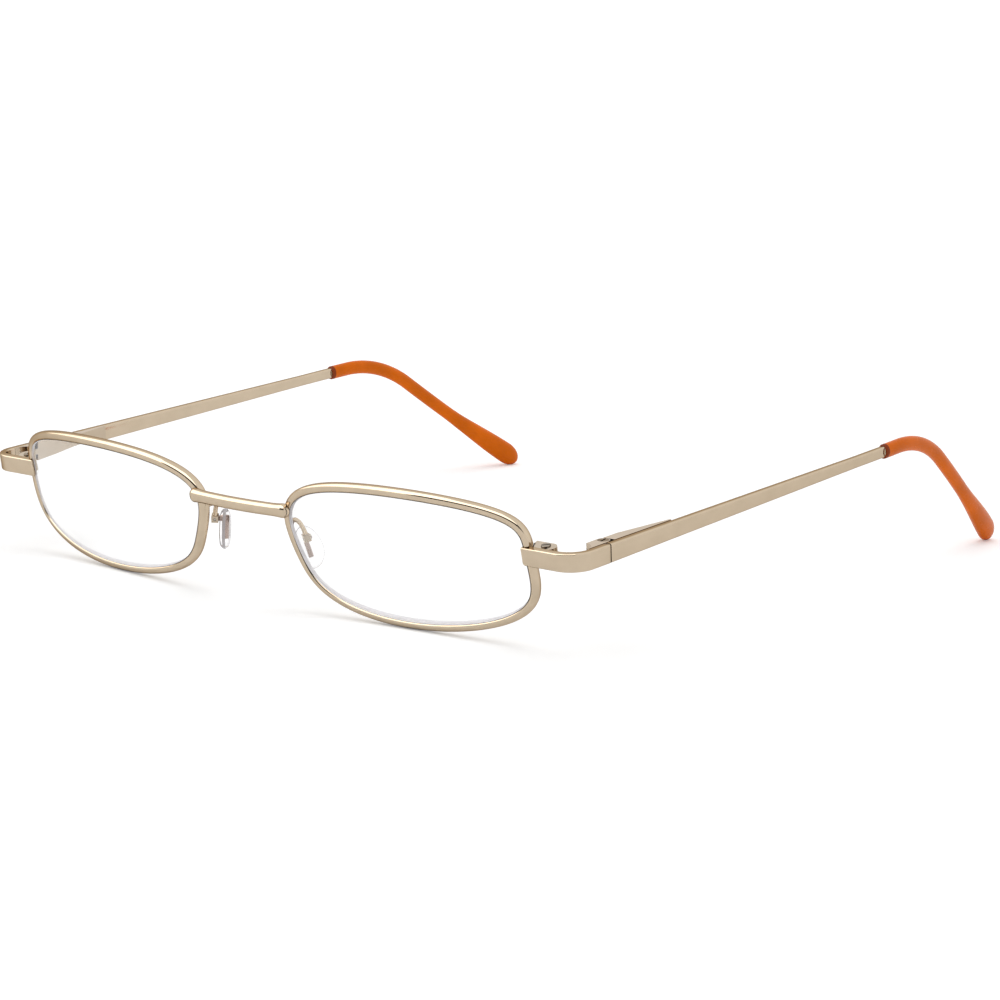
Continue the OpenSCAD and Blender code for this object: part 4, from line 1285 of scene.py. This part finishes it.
@dataclass
class NosePad:
    """A clear nose pad and the bent wire that carries it.

    Attributes:
        plan: the shared sizes.
        away: distance of the pad's middle from the middle plane.
        behind: its distance behind the rim wire at the arm's root.
        down: its height under the rims' middle height.
        splay: angle to the middle plane, seen from above.
        flare: angle that the lower end turns outwards.
        pitch: angle that the lower end turns backwards.
        length: length of the pad.
        width: width of the pad.
        thick: thickness of the pad.
        full: how much fuller the pad is below.
        soft: share by which its faces are smaller than its middle.
        axis: distance from the pad's middle to its screw's axis.
        high: height of its screw above its middle.
        box_h: height of the pad box.
        arm_at: place of the arm's root on the rim's outline, in degrees.
        arm_d: diameter of the arm's wire.
        arm_out: how far the arm first runs back.
        arm_lead: how far it rises above the box as it comes down.
        arm_swing: sideways swing towards the nose.
        solder_swell: share by which the arm is thicker at its ends.
        solder_len: length over which that dies away.
        rim_bands: how many bands on each side of its middle show the pad's thick rim, in the finish that
            paints shade along its outline.
    """

    plan: FrontPlan
    away: float = 9.95
    behind: float = 3.9
    down: float = 3.0
    splay: float = 36.0
    flare: float = 11.0
    pitch: float = 7.0
    length: float = 7.2
    width: float = 5.0
    thick: float = 1.6
    full: float = 0.14
    soft: float = 0.3
    axis: float = 1.65
    high: float = 1.9
    box_h: float = 1.2
    arm_at: float = 164.0
    arm_d: float = 0.75
    arm_out: float = 2.2
    arm_lead: float = 2.2
    arm_swing: float = 1.4
    solder_swell: float = 0.22
    solder_len: float = 0.35
    rim_bands: int = 3

    def __post_init__(self) -> None:
        """Sets the pad's middle behind the rim wire at the arm's root."""
        wire = self.plan.rim_to_front(self.plan.section(self.arm_at, 0.0, 0.0))[0, 0]
        self.middle = np.array([self.away, wire[1] + self.behind, -self.down])

    def to_front(self, points: np.ndarray) -> np.ndarray:
        """From the pad's axes to the front's: pitch, flare and splay, then moved to its place."""
        return turn_z(turn_y(turn_x(points, self.pitch), -self.flare), -self.splay) + self.middle

    def build_pad(self, side: Side, finishes: Finishes) -> Piece:
        """The pad: teardrop rings whose size follows 1 - soft (1 - sin a) while x goes as -cos a.

        Args:
            side: the side to make.
            finishes: the shared finishes.

        Returns:
            The pad.
        """
        a = np.radians(np.linspace(6.0, 174.0, 29))
        t = np.linspace(0.0, 2 * math.pi, 72, endpoint=False)
        size = (1 - self.soft * (1 - np.sin(a)))[:, None]
        y = size * self.width / 2 * np.sin(t) * (1 - self.full * np.cos(t))
        z = size * self.length / 2 * np.cos(t)
        x = np.broadcast_to((-self.thick / 2 * np.cos(a))[:, None], y.shape)
        inner = np.stack([x, y, z], axis=-1)
        caps = [inner[:1] * [1, k, k] for k in (0.35, 0.7, 0.9)]
        rings = np.concatenate([*caps, inner, *(cap * [-1, 1, 1] for cap in caps[::-1])])
        piece = MESHES.skin(f"{side.word}_pad_soft", self.plan.place(self.to_front(rings)), side, crease=60.0)
        dress(piece, finishes.pad, f"pad_{side.word}", f"{side.word}_nose_pad")
        middle = len(caps) + len(a) // 2
        # The rim bands get the grey of painted shade along the pad's outline
        bands = slice((middle - self.rim_bands) * len(t), (middle + self.rim_bands) * len(t))
        MESHES.second_finish(piece, finishes.pad_rim, bands)
        return piece

    def build_arm(self, side: Side, finishes: Finishes) -> Piece:
        """The arm: a round wire along a cubic curve from the rim's back to the top of the pad box.

        The curve is the sum of its four points times (1-k)^3, 3(1-k)^2 k, 3(1-k) k^2 and k^3. Its
        ends swell a little, as where solder has run round the wire.

        Args:
            side: the side to make.
            finishes: the shared finishes.

        Returns:
            The arm.
        """
        p = self.plan
        depths = np.array([0.0, p.rim_d / 2 + SOLDER, p.rim_d])
        wire = p.rim_to_front(p.section(self.arm_at, 0.0, depths))[0]
        root, back = wire[1], unit(wire[2] - wire[0])
        end = self.to_front(np.array([self.axis, 0.0, self.high + self.box_h / 2 + SOLDER]))
        above = unit(self.to_front(Z_AXIS) - self.to_front(np.zeros(3)))
        after_root = root + self.arm_out * back - self.arm_swing * X_AXIS
        q = np.array([root, after_root, end + self.arm_lead * above, end])

        def curve(k: np.ndarray) -> np.ndarray:
            """Point of the cubic curve at each share k."""
            k = np.asarray(k)[:, None]
            shares = ((1 - k) ** 3, 3 * (1 - k) ** 2 * k, 3 * (1 - k) * k * k, k ** 3)
            return sum(share * point for share, point in zip(shares, q))

        k = np.linspace(0.0, 1.0, 64)
        length = np.concatenate([[0.0], np.cumsum(np.linalg.norm(np.diff(curve(k), axis=0), axis=1))])
        near_end = np.exp(-length / self.solder_len) + np.exp(-(length[-1] - length) / self.solder_len)
        swell = 1 + self.solder_swell * near_end
        section = swell[:, None, None] * ellipse(self.arm_d, self.arm_d, 24)
        rings = carry(curve(k), curve(k + 0.005) - curve(k - 0.005), section)
        piece = MESHES.skin(f"{side.word}_pad_wire", p.place(rings), side)
        dress(piece, finishes.frame, "front", f"{side.word}_pad_arm")
        return piece


# Dressing, the studio and the camera


def dress(piece: Piece, material: Material, body: str, node: str) -> None:
    """Gives a new piece its material, its body and the CAD node that it stands for.

    Args:
        piece: the new piece.
        material: its finish.
        body: name of the CAD body that it rides on.
        node: name of the CAD node that it replaces.
    """
    piece.data.materials.append(material)
    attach(piece, body)
    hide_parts(node)
    LOG.info("%s rides on %s: %d faces", piece.name, body, len(piece.data.polygons))


def dress_cad(finishes: Finishes) -> None:
    """Gives each CAD node the finish of the first word below that its name holds.

    The nodes that a new piece replaces get the frame's finish, which isn't seen.

    Args:
        finishes: the shared finishes.
    """
    finish_of = {
        "screw": finishes.screw,
        "insert": finishes.insert,
        "hinge": finishes.hinge,
        "lock": finishes.brazed,
        "box": finishes.brazed,
    }
    for name, node in frame["nodes"].items():
        fitting = (finish for word, finish in finish_of.items() if word in name)
        node.data.materials.clear()
        node.data.materials.append(next(fitting, finishes.frame))


@dataclass
class Studio:
    """A white table and room, two wide soft lights, and cards that only the gloss sees.

    Attributes:
        room_level: strength of the world's light on matt surfaces.
        back_light: strength of the light from behind and above, which casts the soft shadow.
        front_light: strength of the light from the camera's side.
        glow: strength of the floor's own light where a surface reflects it.
        camera_glow: the same for the camera, also through clear pieces, which lifts all but the
            close shadows to white.
        card_away: distance of the cards from the glasses, in metres.
        half_floor: half the floor's side, in metres.
    """

    room_level: float = 0.72
    back_light: float = 0.75
    front_light: float = 0.2
    glow: float = 0.02
    camera_glow: float = 0.2
    card_away: float = 1.6
    half_floor: float = 12.0

    def floor(self) -> Piece:
        """A wide flat floor that shows as white and keeps the object's shadow.

        Its own light lifts it to white for the camera, also through clear pieces, and stays faint
        where a surface reflects it. The diffuse part darkens where the glasses keep the light off.

        Returns:
            The floor.
        """
        half = self.half_floor
        corners = [(x, y, 0.0) for x, y in ((-half, -half), (half, -half), (half, half), (-half, half))]
        mesh = bpy.data.meshes.new("studio_floor")
        mesh.from_pydata(corners, [], [(0, 1, 2, 3)])
        floor = bpy.data.objects.new("studio_floor", mesh)
        bpy.context.scene.collection.objects.link(floor)
        desk = NodeDesk.fresh("white_table")
        diffuse = desk.add("ShaderNodeBsdfDiffuse", Color=(0.9, 0.9, 0.9, 1.0))
        path = desk.add("ShaderNodeLightPath")
        level = desk.spread(path.outputs["Is Reflection Ray"], self.camera_glow, self.glow, 0.0, 1.0)
        glow = desk.add("ShaderNodeEmission", Color=(1.0, 1.0, 1.0, 1.0), Strength=level)
        nothing = desk.add("ShaderNodeEmission", Color=(0.0, 0.0, 0.0, 1.0), Strength=0.0)
        lit = desk.mix(self.seen(desk), nothing.outputs["Emission"], glow.outputs["Emission"])
        both = desk.add("ShaderNodeAddShader")
        desk.put(both, 0, diffuse.outputs["BSDF"])
        desk.put(both, 1, lit)
        floor.data.materials.append(desk.close(both.outputs["Shader"]))
        return floor

    @staticmethod
    def seen(desk: NodeDesk) -> Socket:
        """The greatest of three tests of a ray: from the camera, from gloss, through a clear piece.

        Args:
            desk: the desk of the material or world that asks.

        Returns:
            A socket that is 1 for such a ray and otherwise 0.
        """
        path = desk.add("ShaderNodeLightPath")
        seen = path.outputs["Is Camera Ray"]
        for test in ("Is Glossy Ray", "Is Transmission Ray"):
            either = desk.add("ShaderNodeMath")
            either.operation = "MAXIMUM"
            desk.put(either, 0, seen)
            desk.put(either, 1, path.outputs[test])
            seen = either.outputs[0]
        return seen

    def room(self) -> None:
        """The world: plain light at room_level, and white for camera, gloss and see-through rays."""
        world = bpy.data.worlds.new("white_room")
        bpy.context.scene.world = world
        desk = NodeDesk(world)
        plain = desk.add("ShaderNodeBackground", Color=(1.0, 1.0, 1.0, 1.0), Strength=self.room_level)
        white = desk.add("ShaderNodeBackground", Color=(1.0, 1.0, 1.0, 1.0), Strength=1.0)
        both = desk.mix(self.seen(desk), plain.outputs["Background"], white.outputs["Background"])
        desk.add("ShaderNodeOutputWorld", Surface=both)

    @staticmethod
    def light(name: str, azimuth: float, elevation: float, width: float, strength: float) -> None:
        """A far, wide and even light, so that the floor is lit alike all over.

        Args:
            name: name of the light.
            azimuth: direction that it comes from in degrees, 0 in front and 90 on the wearer's left.
            elevation: its height in degrees.
            width: angle across it in degrees.
            strength: its strength.
        """
        data = bpy.data.lights.new(name, "SUN")
        data.energy, data.angle = strength, math.radians(width)
        place = direction(azimuth, elevation)
        lamp = bpy.data.objects.new(name, data)
        lamp.location = place
        lamp.rotation_euler = (-place).to_track_quat("-Z", "Y").to_euler()
        lamp.visible_glossy = False
        bpy.context.scene.collection.objects.link(lamp)

    def card(
        self, name: str, azimuths: tuple[float, float], heights: tuple[float, float], level: float
    ) -> None:
        """A curved card round the glasses that only gloss rays see, as a photographer's flag or panel.

        Args:
            name: name of the card.
            azimuths: where it starts and stops, in degrees, as for the lights.
            heights: elevations of its lower and upper edge in degrees, seen from the glasses.
            level: its brightness, under 1 for a dark card.
        """
        a = np.radians(np.linspace(*azimuths, 40))
        line = self.card_away * np.stack([np.sin(a), -np.cos(a)], axis=-1)
        low, high = (self.card_away * math.tan(math.radians(v)) for v in heights)
        points = np.concatenate([np.column_stack([line, np.full(len(a), z)]) for z in (low, high)])
        n = len(a)
        mesh = bpy.data.meshes.new(name)
        mesh.from_pydata(points.tolist(), [], [(i, i + 1, n + i + 1, n + i) for i in range(n - 1)])
        card = bpy.data.objects.new(name, mesh)
        bpy.context.scene.collection.objects.link(card)
        desk = NodeDesk.fresh(name + "_face")
        face = desk.add("ShaderNodeEmission", Color=(1.0, 1.0, 1.0, 1.0), Strength=level)
        card.data.materials.append(desk.close(face.outputs["Emission"]))
        card.visible_camera = card.visible_diffuse = card.visible_shadow = False
        card.visible_transmission = card.visible_volume_scatter = False

    def build(self) -> None:
        """Sets up the floor, the room, the lights and the cards."""
        self.floor()
        self.room()
        self.light("back_light", azimuth=200.0, elevation=74.0, width=52.0, strength=self.back_light)
        self.light("front_light", azimuth=-20.0, elevation=55.0, width=60.0, strength=self.front_light)
        self.card("dark_card", azimuths=(-20.0, 60.0), heights=(0.5, 30.0), level=0.04)
        self.card("bright_panel", azimuths=(-95.0, -20.0), heights=(16.0, 72.0), level=2.5)
        self.card("bright_roof", azimuths=(-20.0, 60.0), heights=(31.0, 76.0), level=2.5)


@dataclass
class PhotoCamera:
    """The photograph's camera, from a fit of the rims, hinges and tips.

    Attributes:
        azimuth: angle of the camera round the glasses, in degrees.
        elevation: angle of its line of sight above the floor.
        roll: its turn about its own axis.
        focal: focal length in pixels of a picture 1000 pixels wide.
        place: its place from the front's origin, in millimetres.
    """

    azimuth: float = 38.645195
    elevation: float = 10.025443
    roll: float = 1.593631
    focal: float = 3209.877
    place: tuple[float, float, float] = (352.5457, -371.7233, 98.0553)

    def build(self, plan: FrontPlan) -> None:
        """Makes the camera and gives it to the scene.

        Its back axis points along its azimuth and elevation, and its right and up axes are turned
        about that by the roll.

        Args:
            plan: the front, whose shift carries the camera along.
        """
        az, roll = math.radians(self.azimuth), math.radians(self.roll)
        back = direction(self.azimuth, self.elevation)
        right = Vector((math.cos(az), math.sin(az), 0.0))
        up = back.cross(right)
        right_r = right * math.cos(roll) + up * math.sin(roll)
        up_r = up * math.cos(roll) - right * math.sin(roll)
        data = bpy.data.cameras.new("photo_camera")
        data.sensor_width = 36.0
        data.lens = self.focal * data.sensor_width / 1000.0
        data.clip_start = 0.01
        camera = bpy.data.objects.new("photo_camera", data)
        turn = Matrix((right_r, up_r, back)).transposed().to_4x4()
        place = (np.array(self.place) + plan.shift) * MM
        camera.matrix_world = Matrix.Translation(Vector(place)) @ turn
        bpy.context.scene.collection.objects.link(camera)
        bpy.context.scene.camera = camera


def main() -> None:
    """Builds the studio and the glasses, piece by piece."""
    logging.basicConfig(level=logging.INFO, format="%(name)s: %(message)s")
    bpy.context.scene.view_settings.view_transform = "Standard"
    front = FrontPlan()
    PhotoCamera().build(front)
    Studio().build()
    finishes = Finishes()
    dress_cad(finishes)
    sides = SidePlan(front)
    temple, pad = Temple(sides), NosePad(front)
    for side in Side:
        Rim(front).build(side, finishes)
        Lens(front).build(side, finishes)
        EndPiece(sides).build(side, finishes)
        temple.build_bar(side, finishes)
        temple.build_sleeve(side, finishes)
        pad.build_arm(side, finishes)
        pad.build_pad(side, finishes)
    Bridge(front).build(finishes)


if __name__ == "__main__":
    main()
